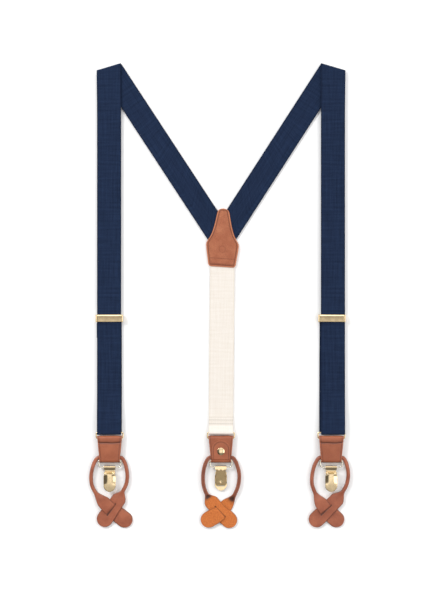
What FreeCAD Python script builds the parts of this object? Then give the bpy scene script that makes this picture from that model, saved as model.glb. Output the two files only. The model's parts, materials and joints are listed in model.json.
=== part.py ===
"""Convertible Y-back dress braces, laid flat with the two front straps folded over the back.

Millimetres. X is to the right, Y runs from the clips to the shoulders and +Z is up from the surface
that the braces lie on. The origin is on that surface, under the middle of the whole object.

Each end of the braces is the same assembly: a leather tab on a ring, a flap with a snap, a wire ring
with a clip, and a button loop. It is drawn once, front face up, with its strap's centre line on
x = 0. The two front ends are placed that way up and the back end is turned over.
"""
import FreeCAD, Part
import math
import os

import Sketcher
from FreeCAD import Placement, Rotation, Vector

SIZES = {
    # webbing and leather
    "webbing_width": 25.4,
    "webbing_thick": 1.2,
    "back_strap_width": 26.0,
    "leather_thick": 1.0,
    "layer_gap": 0.05,
    # shoulder folds and the yoke patch
    "fold_y": 240.4,
    "fold_spread": 118.0,
    "front_layer_z": 3.2,
    "yoke_meeting_y": 56.5,
    "yoke_top_y": 92.2,
    "yoke_bottom_y": 30.4,
    "back_strap_top_y": 44.0,
    # adjuster slider
    "slider_top_y": -19.7,
    "slider_length": 8.2,
    "ear_inner_x": 13.1,
    "ear_outer_x": 14.4,
    "slider_pin_z": 5.9,
    "slider_pin_radius": 0.5,
    "slider_hub_radius": 1.3,
    "hem_end_y": -44.5,
    # tab ring and leather tab
    "ring_bar_y": -144.3,
    "tab_bar_y": -150.35,
    "tab_ring_outer_x": 14.8,
    "tab_ring_wire": 0.75,
    "tab_middle_z": 4.7,
    "strap_loop_radius": 1.15,
    "tab_top_half_width": 12.9,
    "tab_bottom_half_width": 10.4,
    "tab_layer_gap": 3.4,
    "rear_layer_end_y": -168.0,
    "bend_y": -172.9,
    "bend_radius": 2.25,
    # flap and snap
    "flap_half_width": 9.75,
    "flap_arch_y": -162.2,
    "snap_y": -163.9,
    "snap_cap_radius": 3.9,
    "snap_post_radius": 1.2,
    "snap_head_radius": 1.9,
    # clip ring
    "clip_bar_y": -173.9,
    "clip_hook_y": -180.9,
    "clip_ring_wire": 0.8,
    "clip_ring_top_x": 12.0,
    "clip_ring_bottom_x": 11.0,
    # clip
    "clip_plate_width": 10.6,
    "clip_plate_length": 20.5,
    "clip_metal": 0.7,
    "hook_radius": 1.0,
    "hook_width": 12.0,
    "clip_pin_y": -6.0,
    "clip_pin_z": 1.9,
    "clip_pin_radius": 0.6,
    "clip_lever_width": 12.6,
    "clip_lever_length": 26.4,
    # button loop
    "loop_y": -170.2,
    "loop_z": 4.3,
    "loop_cord_radius": 1.7,
    "lobe_radius": 8.6,
    "lobe_thick": 1.4,
    "lobe_y": -236.6,
    "lobe_spread": 10.4,
}
BACK_TURNED_HEIGHT = 8.75
MIDDLE = Vector(0.42, -0.22, 0.0)
SIDES = ("left", "right", "back")
FRONTS = ("left", "right")

doc = FreeCAD.newDocument("braces")
sheet = doc.addObject("Spreadsheet::Sheet", "Sizes")


class Size:
    """A number together with the spreadsheet expression that gives it."""

    def __init__(self, value, text):
        self.value = value
        self.text = text

    def __add__(self, other):
        other = as_size(other)
        return Size(self.value + other.value, f"({self.text} + {other.text})")

    def __sub__(self, other):
        other = as_size(other)
        return Size(self.value - other.value, f"({self.text} - {other.text})")

    def __mul__(self, other):
        other = as_size(other)
        return Size(self.value * other.value, f"({self.text} * {other.text})")

    def __truediv__(self, other):
        other = as_size(other)
        return Size(self.value / other.value, f"({self.text} / {other.text})")

    def __radd__(self, other):
        return as_size(other) + self

    def __rsub__(self, other):
        return as_size(other) - self

    def __rmul__(self, other):
        return as_size(other) * self

    def __neg__(self):
        return 0 - self


def as_size(number):
    """A plain number is a size whose expression is the number itself."""
    if isinstance(number, Size):
        return number
    return Size(float(number), f"({round(float(number), 9)})")


def fill_sheet():
    """One row per driving dimension: its name, and its value under an alias of that name."""
    for row, (alias, value) in enumerate(SIZES.items(), start=1):
        sheet.set(f"A{row}", alias)
        sheet.set(f"B{row}", str(value))
        sheet.setAlias(f"B{row}", alias)
    doc.recompute()


def size(alias):
    return Size(SIZES[alias], f"Sizes.{alias}")


def bind(item, path, number):
    """Sets a property from the sheet's expression, or as a plain value where it has none."""
    item.setExpression(path, as_size(number).text)


def turn(x, y, radius, start, sweep):
    """Points round a centre from one angle through a sweep, in quarter turns or less."""
    steps = math.ceil(abs(sweep) / 90 - 1e-6)
    points = []
    for step in range(steps + 1):
        angle = math.radians(start + sweep * step / steps)
        along = x + radius * round(math.cos(angle), 9)
        across = y + radius * round(math.sin(angle), 9)
        bend = (radius if sweep > 0 else -radius,) if step else ()
        points.append((along, across, *bend))
    return points


def round_corners(corners, closed=True):
    """Each corner (x, y, radius) becomes its two tangent points, joined by an arc."""
    spots = [Vector(as_size(x).value, as_size(y).value, 0) for x, y, radius in corners]
    points = []
    for i, (x, y, radius) in enumerate(corners):
        if not closed and i in (0, len(corners) - 1):
            points.append((x, y))
            continue
        before = (spots[i - 1] - spots[i]).normalize()
        after = (spots[(i + 1) % len(spots)] - spots[i]).normalize()
        back = radius / round(math.tan(before.getAngle(after) / 2), 9)
        left = before.cross(after).z < 0
        for arm, bend in ((before, ()), (after, (radius if left else -radius,))):
            points.append((x + back * round(arm.x, 9), y + back * round(arm.y, 9), *bend))
    return points


class Drawing:
    """A sketch on one of a body's own planes, whose points are bound to the sheet.

    On the YZ plane a drawing's first direction is the body's Y and its second is the body's Z.
    """

    def __init__(self, body, name, plane="XY_Plane", lift=0):
        self.sketch = body.newObject("Sketcher::SketchObject", name)
        base = next(f for f in body.Origin.OriginFeatures if f.Role == plane)
        self.sketch.AttachmentSupport = [(base, "")]
        self.sketch.MapMode = "FlatFace"
        bind(self.sketch, "AttachmentOffset.Base.z", lift)

    def constrain(self, number, *terms):
        number = as_size(number)
        index = self.sketch.addConstraint(Sketcher.Constraint(*terms, number.value))
        self.sketch.setExpression(f"Constraints[{index}]", number.text)

    def fix(self, edge, point, x, y):
        """Holds one point of an edge at a place measured from the drawing's origin."""
        for kind, axis, number in (("DistanceX", -2, x), ("DistanceY", -1, y)):
            if abs(as_size(number).value) < 1e-9:
                self.sketch.addConstraint(Sketcher.Constraint("PointOnObject", edge, point, axis))
            else:
                self.constrain(number, kind, -1, 1, edge, point)

    def edge(self, start, end):
        """A line to the end point, or an arc where that point has a radius; returns its end names."""
        a, b = (Vector(as_size(p[0]).value, as_size(p[1]).value, 0) for p in (start, end))
        if len(end) == 2:
            return self.sketch.addGeometry(Part.LineSegment(a, b), False), 1, 2
        radius = as_size(end[2]).value
        chord = b - a
        rise = math.sqrt(max(radius**2 - (chord.Length / 2) ** 2, 0))
        normal = Vector(-chord.y, chord.x, 0).normalize() * math.copysign(rise, radius)
        centre = (a + b) / 2 + normal
        first, last = (a, b) if radius > 0 else (b, a)
        angles = [math.atan2(p.y - centre.y, p.x - centre.x) for p in (first, last)]
        if angles[1] < angles[0]:
            angles[1] += 2 * math.pi
        circle = Part.Circle(centre, Vector(0, 0, 1), abs(radius))
        arc = self.sketch.addGeometry(Part.ArcOfCircle(circle, *angles), False)
        self.constrain(end[2] if radius > 0 else -end[2], "Radius", arc)
        return (arc, 1, 2) if radius > 0 else (arc, 2, 1)

    def run(self, points, closed=True):
        """Edges through the points in turn; a third value is the arriving arc's radius."""
        pairs = list(zip(points, points[1:] + points[:1] if closed else points[1:]))
        edges = [self.edge(*pair) for pair in pairs]
        for (edge, start, end), point in zip(edges, points):
            self.fix(edge, start, point[0], point[1])
        followers = edges[1:] + edges[:1] if closed else edges[1:]
        for (edge, start, end), (follower, its_start, its_end) in zip(edges, followers):
            join = Sketcher.Constraint("Coincident", edge, end, follower, its_start)
            self.sketch.addConstraint(join)
        if not closed:
            self.fix(edges[-1][0], edges[-1][2], points[-1][0], points[-1][1])
        return self.sketch

    def circle(self, x, y, radius):
        value = as_size(radius).value
        shape = Part.Circle(Vector(as_size(x).value, as_size(y).value, 0), Vector(0, 0, 1), value)
        index = self.sketch.addGeometry(shape, False)
        self.fix(index, 3, x, y)
        self.constrain(radius, "Radius", index)
        return self.sketch

    def box(self, low_x, low_y, high_x, high_y):
        return self.run([(low_x, low_y), (high_x, low_y), (high_x, high_y), (low_x, high_y)])


def new_body(label, place):
    body = doc.addObject("PartDesign::Body", label)
    body.Label = label
    body.Placement = place
    return body


def pad(body, sketch, length, both_ways=False):
    feature = body.newObject("PartDesign::Pad", "Pad")
    feature.Profile = sketch
    bind(feature, "Length", length)
    feature.SideType = "Symmetric" if both_ways else "One side"
    return feature


def pocket(body, sketch, length):
    """Cuts the sketch through the body, half of the length to each side of the sketch's plane."""
    feature = body.newObject("PartDesign::Pocket", "Pocket")
    feature.Profile = sketch
    bind(feature, "Length", length)
    feature.SideType = "Symmetric"
    return feature


def pipe(body, section, path):
    feature = body.newObject("PartDesign::AdditivePipe", "Wire")
    feature.Profile = section
    feature.Spine = path
    return feature


def strap_place(side):
    """Where an end's own frame stands: its strap's centre line, with the strap's slight lean."""
    if side == "left":
        return Placement(Vector(-117.6, 0, 0) + MIDDLE, Rotation(Vector(0, 0, 1), 0.09))
    if side == "right":
        return Placement(Vector(117.2, 0, 0) + MIDDLE, Rotation(Vector(0, 0, 1), -0.26))
    turned_over = Rotation(Vector(0, 1, 0), 180)
    return Placement(Vector(0, 0, BACK_TURNED_HEIGHT) + MIDDLE, turned_over)


# The yoke patch and the straps that it joins. The patch stands a little to the right and leans.

YOKE_X = 1.75
YOKE_LEAN = -1.7
YOKE_TURN_Y = 56.0
BACK_STRAP_LEAN = -0.5


def fold_slope(side):
    """The angle between a diagonal back length and the front length that it folds over to."""
    across = SIZES["fold_spread"] + (YOKE_X if side == "left" else -YOKE_X)
    return math.atan2(across, SIZES["fold_y"] - SIZES["yoke_meeting_y"])

YOKE_HALF_OUTLINE = [
    # half-width and height up the patch, then the radius of the arc that arrives there
    (5.2, 90.2, -5.4),
    (9.3, 74.0, 60.0),
    (14.4, 60.2, 34.0),
    (17.35, 52.9, -7.5),
    (16.9, 49.0, -16.0),
]
YOKE_BOTTOM_HALF_WIDTH = 14.4
YOKE_CORNER_RADIUS = 3.0


def yoke_outline():
    """Half of the patch's outline from its tip down the right, then the same mirrored."""
    top = (0, size("yoke_top_y"))
    bottom = size("yoke_bottom_y")
    half = YOKE_HALF_OUTLINE
    corner = [
        (YOKE_BOTTOM_HALF_WIDTH + 0.25, bottom + YOKE_CORNER_RADIUS),
        (YOKE_BOTTOM_HALF_WIDTH - YOKE_CORNER_RADIUS, bottom, -YOKE_CORNER_RADIUS - 0.15),
    ]
    right = [top, *half, *corner]
    left = []
    for i in range(len(right) - 1, 0, -1):
        arrives = right[i + 1][2:] if i + 1 < len(right) else ()
        left.append((-right[i][0], right[i][1], *arrives))
    first = (*top, *right[1][2:])
    return [first, *right[1:], *left]


def yoke_panel(label, floor):
    foot = Placement(Vector(0, -YOKE_TURN_Y, 0), Rotation())
    lean = Placement(Vector(YOKE_X, YOKE_TURN_Y, 0) + MIDDLE, Rotation(Vector(0, 0, 1), YOKE_LEAN))
    body = new_body(label, lean * foot)
    drawing = Drawing(body, "outline", lift=floor)
    pad(body, drawing.run(yoke_outline()), size("leather_thick"))


def strap_back(side):
    """The diagonal back length: mitred at the yoke, cut along the shoulder fold at its top."""
    sign = 1 if side == "left" else -1
    slope = fold_slope(side)
    length = (SIZES["fold_y"] - SIZES["yoke_meeting_y"]) / math.cos(slope)
    fold = math.tan(slope / 2)
    half = size("webbing_width") / 2
    knuckle = size("front_layer_z") + size("webbing_thick") - size("leather_thick")
    short = (knuckle / 2 + 0.3) / math.cos(slope / 2)
    gap = 0.05
    drop = SIZES["yoke_meeting_y"] - SIZES["back_strap_top_y"] - 5 * gap
    mitre_y = (half + gap / math.cos(slope)) / round(math.tan(slope), 9)
    inner_x = -gap * math.cos(slope) - drop * math.sin(slope)
    inner_y = gap * math.sin(slope) - drop * math.cos(slope)
    cut = round(math.tan(slope), 9)
    points = [
        (sign * half, mitre_y),
        (sign * half, length - short - half * round(fold, 9)),
        (-sign * half, length - short + half * round(fold, 9)),
        (-sign * half, inner_y + (half + inner_x) * cut),
        (sign * inner_x, inner_y),
    ]
    start = Vector(YOKE_X, SIZES["yoke_meeting_y"], 0) + MIDDLE
    lean = Rotation(Vector(0, 0, 1), sign * math.degrees(slope))
    body = new_body(f"strap_{side}_back", Placement(start, lean))
    drawing = Drawing(body, "outline", lift=size("leather_thick"))
    pad(body, drawing.run(points), size("webbing_thick"))


def back_strap():
    """The back length: flat from the yoke, round the tab ring's bar, and turned back on itself."""
    thick = size("webbing_thick")
    low = size("leather_thick")
    bar_y = size("ring_bar_y")
    bar_z = BACK_TURNED_HEIGHT - size("tab_middle_z")
    inner = size("strap_loop_radius")
    outer = inner + thick
    hem_low = low + thick + size("layer_gap")
    hem_end, hem_flat, rise, level = -128.0, -137.0, -137.5, -142.5
    outside = [
        (size("back_strap_top_y"), low),
        (rise, low),
        (level, bar_z - outer),
        *turn(bar_y, bar_z, outer, 270, -180),
        (hem_flat, hem_low + thick),
        (hem_end, hem_low + thick),
        (hem_end, hem_low),
    ]
    inside = [
        (hem_flat - 0.6, hem_low),
        *turn(bar_y, bar_z, inner, 90, 180),
        (level, bar_z - inner),
        (rise, low + thick),
        (size("back_strap_top_y"), low + thick),
    ]
    bar = Vector(0, SIZES["ring_bar_y"], 0)
    lean = Rotation(Vector(0, 0, 1), BACK_STRAP_LEAN)
    body = new_body("back_strap", Placement(bar + MIDDLE, lean) * Placement(-bar, Rotation()))
    drawing = Drawing(body, "side_view", "YZ_Plane")
    pad(body, drawing.run([*outside, *inside]), size("back_strap_width"), both_ways=True)


# The front straps: front length, return length and hem.

RAMP_TOP_Y = -100.0
RAMP_FOOT_Y = -139.0
RETURN_FLOOR_Z = 0.1
HEM_BAR_Z = 1.6
HEM_BAR_TOP_Y = -24.9


def strap_front(side):
    """From the shoulder fold down the front and half way round the tab ring's upper bar."""
    thick = size("webbing_thick")
    half = size("webbing_width") / 2
    low = size("front_layer_z")
    bar_y, bar_z = size("ring_bar_y"), size("tab_middle_z")
    inner = size("strap_loop_radius")
    fold_y = size("fold_y")
    side_view = [
        (fold_y + 5, low + thick),
        (RAMP_TOP_Y, low + thick),
        (RAMP_FOOT_Y, bar_z + inner + thick),
        *turn(bar_y, bar_z, inner + thick, 90, 180),
        *turn(bar_y, bar_z, inner, 270, -180),
        (RAMP_FOOT_Y, bar_z + inner),
        (RAMP_TOP_Y, low),
        (fold_y + 5, low),
    ]
    body = new_body(f"strap_{side}_front", strap_place(side))
    pad(body, Drawing(body, "side_view", "YZ_Plane").run(side_view), half * 2, both_ways=True)
    sign = 1 if side == "left" else -1
    slope = fold_slope(side) / 2
    rise = sign * round(math.tan(slope), 9)
    beyond = [
        (-half - 1, fold_y - (half + 1) * rise),
        (half + 1, fold_y + (half + 1) * rise),
        (half + 1, fold_y + 30),
        (-half - 1, fold_y + 30),
    ]
    pocket(body, Drawing(body, "fold_cut").run(beyond), 20)
    radius = (low + thick - size("leather_thick")) / 2
    knuckle = body.newObject("PartDesign::AdditiveCylinder", "knuckle")
    bind(knuckle, "Radius", radius)
    bind(knuckle, "Height", half * 2)
    along = Vector(math.cos(slope), sign * math.sin(slope), 0)
    middle = Vector(0, SIZES["fold_y"], low.value + thick.value - radius.value)
    turned = Rotation(Vector(0, 0, 1), along)
    knuckle.AttachmentOffset = Placement(middle - along * half.value, turned)
    base = next(f for f in body.Origin.OriginFeatures if f.Role == "XY_Plane")
    knuckle.AttachmentSupport = [(base, "")]
    knuckle.MapMode = "FlatFace"


def strap_return(side):
    """The length behind the front one, from the ring's bar back up to the slider."""
    thick = size("webbing_thick")
    bar_y, bar_z = size("ring_bar_y"), size("tab_middle_z")
    inner = size("strap_loop_radius")
    low = RETURN_FLOOR_Z
    gap = size("layer_gap")
    side_view = [
        (HEM_BAR_TOP_Y, low),
        (HEM_BAR_TOP_Y, low + thick),
        (RAMP_TOP_Y, low + thick),
        (RAMP_FOOT_Y, bar_z - inner),
        (bar_y + gap, bar_z - inner),
        (bar_y + gap, bar_z - inner - thick),
        (RAMP_FOOT_Y, bar_z - inner - thick),
        (RAMP_TOP_Y, low),
    ]
    body = new_body(f"strap_{side}_return", strap_place(side))
    drawing = Drawing(body, "side_view", "YZ_Plane")
    pad(body, drawing.run(side_view), size("webbing_width"), both_ways=True)


def strap_hem(side):
    """The end of the strap, turned round the slider's bar and sewn down on the return length."""
    thick = size("webbing_thick")
    outer = as_size(HEM_BAR_Z - RETURN_FLOOR_Z)
    inner = outer - thick
    start = HEM_BAR_TOP_Y + 0.05
    end = size("hem_end_y")
    side_view = [
        *turn(start, HEM_BAR_Z, outer, 270, 180),
        (end, HEM_BAR_Z + outer),
        (end, HEM_BAR_Z + inner),
        *turn(start, HEM_BAR_Z, inner, 90, -180),
    ]
    body = new_body(f"strap_{side}_hem", strap_place(side))
    drawing = Drawing(body, "side_view", "YZ_Plane")
    pad(body, drawing.run(side_view), size("webbing_width"), both_ways=True)


# The adjuster slider.


def slider_pin_y():
    return size("slider_top_y") - size("slider_hub_radius")


def slider_frame(side):
    """Two ears joined by a base plate under the strap and by the flat bar that the hem turns on."""
    top = size("slider_top_y") - 0.2
    end = size("slider_top_y") - size("slider_length")
    inner, outer = size("ear_inner_x"), size("ear_outer_x")
    pin_y, pin_z = slider_pin_y(), size("slider_pin_z")
    ear_top = pin_z + 1.1
    round_top = 0.8
    bar_low, bar_high = HEM_BAR_Z - 0.22, HEM_BAR_Z + 0.22
    body = new_body(f"slider_{side}_frame", strap_place(side))
    ear = [
        (top, bar_low),
        (top, ear_top - round_top),
        (top - round_top, ear_top, round_top),
        (end + round_top, ear_top),
        (end, ear_top - round_top, round_top),
        (end, bar_low),
    ]
    pad(body, Drawing(body, "ears", "YZ_Plane").run(ear), outer * 2, both_ways=True)
    room = [
        (top + 1, 3.0),
        (top + 1, ear_top + 1),
        (end - 1, ear_top + 1),
        (end - 1, bar_high),
        (HEM_BAR_TOP_Y, bar_high),
        (HEM_BAR_TOP_Y, bar_low - 1),
        (top - 3.3, bar_low - 1),
        (top - 3.3, 3.0),
    ]
    pocket(body, Drawing(body, "strap_room", "YZ_Plane").run(room), inner * 2)
    under = Drawing(body, "return_room", "YZ_Plane")
    pocket(body, under.box(top - 3.4, bar_low - 1, top + 1, 2.1), inner * 2)
    past_bar = Drawing(body, "bar_edge", "YZ_Plane")
    pocket(body, past_bar.box(end - 1, bar_low - 1, end + 1.1, bar_high + 1), inner * 2)
    holes = Drawing(body, "pin_holes", "YZ_Plane")
    pocket(body, holes.circle(pin_y, pin_z, size("slider_pin_radius")), outer * 2 + 2)


def slider_pin(side):
    body = new_body(f"slider_{side}_pin", strap_place(side))
    drawing = Drawing(body, "round", "YZ_Plane")
    drawing.circle(slider_pin_y(), size("slider_pin_z"), size("slider_pin_radius"))
    pad(body, drawing.sketch, size("ear_outer_x") * 2, both_ways=True)


def slider_lever(side):
    """The cover plate with its rolled hub round the pin."""
    pin_y, pin_z = slider_pin_y(), size("slider_pin_z")
    end = size("slider_top_y") - size("slider_length")
    hub = size("slider_hub_radius")
    width = size("ear_inner_x") * 2 - 0.4
    plate_low, plate_high = pin_z + 0.5, pin_z + hub
    body = new_body(f"slider_{side}_lever", strap_place(side))
    barrel = Drawing(body, "barrel", "YZ_Plane")
    pad(body, barrel.circle(pin_y, pin_z, hub), width, both_ways=True)
    plate = Drawing(body, "plate", "YZ_Plane")
    pad(body, plate.box(end, plate_low, pin_y, plate_high), width, both_ways=True)
    bore = Drawing(body, "bore", "YZ_Plane")
    pocket(body, bore.circle(pin_y, pin_z, size("slider_pin_radius") + 0.06), width + 2)


# The tab at each end.


def tab_ring(side):
    """A rectangular wire ring: the strap turns on its upper bar, the leather on its lower one."""
    wire = size("tab_ring_wire")
    half = size("tab_ring_outer_x") - wire
    top, bottom = size("ring_bar_y"), size("tab_bar_y")
    bend = 1.6
    corners = [(half, top, bend), (-half, top, bend), (-half, bottom, bend), (half, bottom, bend)]
    body = new_body(f"tab_{side}_ring", strap_place(side))
    path = Drawing(body, "path", lift=size("tab_middle_z")).run(round_corners(corners))
    section = Drawing(body, "section", "YZ_Plane").circle(top, size("tab_middle_z"), wire)
    pipe(body, section, path)


def tab_leather(side):
    """One strip: rear layer, over the ring's lower bar, front layer, and the bend at the bottom."""
    thick = size("leather_thick")
    middle = size("tab_middle_z")
    gap = size("tab_layer_gap") / 2
    bar_y, bend_y = size("tab_bar_y"), size("bend_y")
    bend = size("bend_radius")
    bend_z = middle + gap - bend
    end = size("rear_layer_end_y")
    side_view = [
        (end, middle - gap - thick),
        *turn(bar_y, middle, gap + thick, 270, 180),
        *turn(bend_y, bend_z, bend + thick, 90, 180),
        *turn(bend_y, bend_z, bend, 270, -180),
        *turn(bar_y, middle, gap, 90, -180),
        (end, middle - gap),
    ]
    body = new_body(f"tab_{side}_leather", strap_place(side))
    wide, narrow = size("tab_top_half_width"), size("tab_bottom_half_width")
    pad(body, Drawing(body, "side_view", "YZ_Plane").run(side_view), wide * 2, both_ways=True)
    top = bar_y + gap + thick
    bottom = bend_y - bend - thick
    for sign in (1, -1):
        waste = [
            (sign * wide, top),
            (sign * narrow, bottom - 0.05),
            (sign * (narrow - 1.5), bottom - 1),
            (sign * (wide + 4), bottom - 1),
            (sign * (wide + 4), top),
        ]
        pocket(body, Drawing(body, "taper").run(waste), 40)
    hole = Drawing(body, "stud_hole", lift=middle - gap)
    pocket(body, hole.circle(0, size("snap_y"), size("snap_post_radius")), thick * 3)


def flap_floor():
    """The flap's outer face: one leather thickness below the tab's rear bend."""
    return size("tab_middle_z") + size("tab_layer_gap") / 2 - size("bend_radius") * 2


def tab_flap(side):
    """A round-topped flap, hinged where the tab's bend ends, with a hole for the snap's socket."""
    half = size("flap_half_width")
    arch = size("flap_arch_y")
    start = size("bend_y") + 0.1
    outline = [(-half, start), (half, start), *turn(0, arch, half, 0, 180)]
    body = new_body(f"tab_{side}_flap", strap_place(side))
    drawing = Drawing(body, "outline", lift=flap_floor() - size("leather_thick"))
    pad(body, drawing.run(outline), size("leather_thick"))
    hole = Drawing(body, "socket_hole", lift=flap_floor())
    pocket(body, hole.circle(0, size("snap_y"), 3.0), 6)


def tab_snap_stud(side):
    """A post through the tab's rear layer with a disc inside and the round head outside."""
    rear = size("tab_middle_z") - size("tab_layer_gap") / 2
    post, head = size("snap_post_radius"), size("snap_head_radius")
    disc, disc_thick = 3.4, 0.4
    thick = size("leather_thick")
    half_view = [
        (0, rear + disc_thick),
        (0, rear - thick - 0.85),
        (head - 0.3, rear - thick - 0.85),
        (head, rear - thick - 0.55),
        (head, rear - thick),
        (post, rear - thick),
        (post, rear),
        (disc, rear),
        (disc, rear + disc_thick),
    ]
    spin(f"tab_{side}_snap_stud", side, half_view)


def tab_snap_cap(side):
    """The domed cap on the flap's outer face, with its socket barrel through the flap."""
    face = flap_floor() - size("leather_thick")
    cap = size("snap_cap_radius")
    barrel = 3.0
    half_view = [
        (0, face - 0.88),
        (2.6, face - 0.7, 30),
        (cap, face - 0.15, 4),
        (cap, face),
        (barrel, face),
        (barrel, face + size("leather_thick")),
        (barrel - 0.6, face + size("leather_thick")),
        (barrel - 0.6, face),
        (0, face),
    ]
    spin(f"tab_{side}_snap_cap", side, half_view)


def spin(label, side, half_view):
    """A turned piece: the half view (radius, height) spun round the snap's centre line."""
    place = strap_place(side) * Placement(Vector(0, SIZES["snap_y"], 0), Rotation())
    body = new_body(label, place)
    drawing = Drawing(body, "half_view", "XZ_Plane")
    drawing.run(half_view)
    feature = body.newObject("PartDesign::Revolution", "Turned")
    feature.Profile = drawing.sketch
    feature.ReferenceAxis = (drawing.sketch, ["V_Axis"])


def clip_ring(side):
    """The wire ring that joins the clip to the tab, narrower at its lower corners."""
    wire = size("clip_ring_wire")
    top, bottom = size("clip_bar_y"), size("clip_hook_y")
    wide, narrow = size("clip_ring_top_x"), size("clip_ring_bottom_x")
    corners = [(wide, top, 1.8), (-wide, top, 1.8), (-narrow, bottom, 2.4), (narrow, bottom, 2.4)]
    body = new_body(f"clip_{side}_ring", strap_place(side))
    level = bend_level()
    path = Drawing(body, "path", lift=level).run(round_corners(corners))
    section = Drawing(body, "section", "YZ_Plane").circle(top, level, wire)
    pipe(body, section, path)


def bend_level():
    """The height of the middle of the tab's bottom bend, where the clip ring's bar lies."""
    return size("tab_middle_z") + size("tab_layer_gap") / 2 - size("bend_radius")


# The clip, drawn with the clip ring's lower bar as its origin and its plates running to -Y.


def clip_place(side):
    bar = Vector(0, SIZES["clip_hook_y"], bend_level().value)
    return strap_place(side) * Placement(bar, Rotation())


def clip_frame(side):
    """Back plate, with the hook that closes over the ring at its top and two ears for the pin."""
    metal = size("clip_metal")
    inner = size("hook_radius")
    outer = inner + metal
    length = size("clip_plate_length")
    half = size("clip_plate_width") / 2
    pin_y, pin_z = size("clip_pin_y"), size("clip_pin_z")
    body = new_body(f"clip_{side}_frame", clip_place(side))
    hook = [
        (-1.2, -outer),
        *turn(0, 0, outer, 270, 180),
        (-3.0, outer),
        (-3.0, inner),
        *turn(0, 0, inner, 90, -180),
        (-1.2, -inner),
    ]
    pad(body, Drawing(body, "hook", "YZ_Plane").run(hook), size("hook_width"), both_ways=True)
    tooth, pitch = 0.45, 1.5
    serrated = [(half, -1.0)]
    for step in range(8):
        y = -8.8 - step * pitch
        serrated += [(half, y), (half - tooth, y - pitch / 2)]
    serrated += [(half, -length + 0.9), (half - 0.9, -length, -0.9)]
    mirrored = [(-x, y) for x, y, *rest in reversed(serrated)]
    mirrored[1] = (*mirrored[1], -0.9)
    plate = Drawing(body, "plate", lift=-outer)
    pad(body, plate.run([*serrated, *mirrored]), metal)
    ear_round = 0.85
    ear = [
        (pin_y - ear_round, -outer),
        (pin_y + ear_round, -outer),
        *turn(pin_y, pin_z, as_size(ear_round), 0, 180),
    ]
    pad(body, Drawing(body, "ears", "YZ_Plane").run(ear), half * 2 + 1.3, both_ways=True)
    room = Drawing(body, "ear_room", "YZ_Plane")
    pocket(body, room.box(pin_y - 2, -inner, pin_y + 2, pin_z + 2), half * 2)
    hole = Drawing(body, "pin_hole", "YZ_Plane")
    pocket(body, hole.circle(pin_y, pin_z, size("clip_pin_radius")), 20)


def clip_pin(side):
    body = new_body(f"clip_{side}_pin", clip_place(side))
    drawing = Drawing(body, "round", "YZ_Plane")
    drawing.circle(size("clip_pin_y"), size("clip_pin_z"), size("clip_pin_radius"))
    pad(body, drawing.sketch, size("clip_plate_width") + 1.3, both_ways=True)


def clip_pad(side):
    """The soft gripping pad on the back plate."""
    half = size("clip_plate_width") / 2 - 0.9
    floor = -size("hook_radius")
    body = new_body(f"clip_{side}_pad", clip_place(side))
    drawing = Drawing(body, "outline", lift=floor)
    outline = round_corners(
        [(-half, -20.0, 0.8), (half, -20.0, 0.8), (half, -11.0, 0.8), (-half, -11.0, 0.8)]
    )
    pad(body, drawing.run(outline), 1.2)


def clip_lever(side):
    """The bulged front plate, rounded at its foot, on two hubs round the pin."""
    metal = 0.8
    pin_y, pin_z = size("clip_pin_y"), size("clip_pin_z")
    foot = -size("clip_lever_length")
    width = size("clip_lever_width")
    bulge = as_size(34.0)
    head_y = pin_y - 0.9
    head_z, foot_z = pin_z + 1.2, 1.3
    body = new_body(f"clip_{side}_lever", clip_place(side))
    band = [
        (head_y, head_z, -bulge),
        (head_y, head_z + metal),
        (foot, foot_z + metal, bulge + metal),
        (foot, foot_z),
    ]
    pad(body, Drawing(body, "bulge", "YZ_Plane").run(band), width, both_ways=True)
    corner = 5.6
    for sign in (1, -1):
        waste = [
            (sign * width / 2, foot + corner),
            (sign * (width / 2 - corner), foot, -sign * corner),
            (sign * (width / 2 - corner), foot - 2),
            (sign * (width / 2 + 2), foot - 2),
            (sign * (width / 2 + 2), foot + corner),
        ]
        pocket(body, Drawing(body, "round_foot").run(waste), 30)
    hub, reach = 1.2, 5.1
    link = [
        *turn(pin_y, pin_z, as_size(hub), 0, 90),
        (head_y - 1.2, head_z + 0.3),
        (head_y - 1.6, head_z + 0.1),
        *turn(pin_y, pin_z, as_size(hub), 200, 160)[:-1],
    ]
    pad(body, Drawing(body, "hubs", "YZ_Plane").run(link), reach * 2, both_ways=True)
    room = Drawing(body, "jaw_room", "YZ_Plane")
    pocket(body, room.box(pin_y - 3.2, pin_z - 2, pin_y + 2, head_z - 0.02), 6.4)
    bore = Drawing(body, "bore", "YZ_Plane")
    pocket(body, bore.circle(pin_y, pin_z, size("clip_pin_radius") + 0.06), 20)


def clip_jaw(side):
    """The toothed inner plate that presses the trousers on the pad."""
    pin_y, pin_z = size("clip_pin_y"), size("clip_pin_z")
    hub = 1.0
    metal = 0.6
    low = 0.8
    end = -20.4
    body = new_body(f"clip_{side}_jaw", clip_place(side))
    arm = [
        *turn(pin_y, pin_z, as_size(hub), 290, 250),
        (pin_y - 2.6, low + metal),
        (pin_y - 2.9, low),
    ]
    pad(body, Drawing(body, "arm", "YZ_Plane").run(arm), 6.0, both_ways=True)
    teeth = [(pin_y - 2.5, low), (pin_y - 2.5, low + metal), (end, low + metal), (end, low - 0.4)]
    for step in range(4):
        y = end + 0.8 + step * 1.8
        teeth += [(y, low - 0.4), (y + 0.5, low), (y + 1.0, low)]
    pad(body, Drawing(body, "toothed_plate", "YZ_Plane").run(teeth), 8.6, both_ways=True)
    bore = Drawing(body, "bore", "YZ_Plane")
    pocket(body, bore.circle(pin_y, pin_z, size("clip_pin_radius") + 0.06), 20)


# The button loop, drawn with the cord's channel through the tab as its origin.

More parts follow.
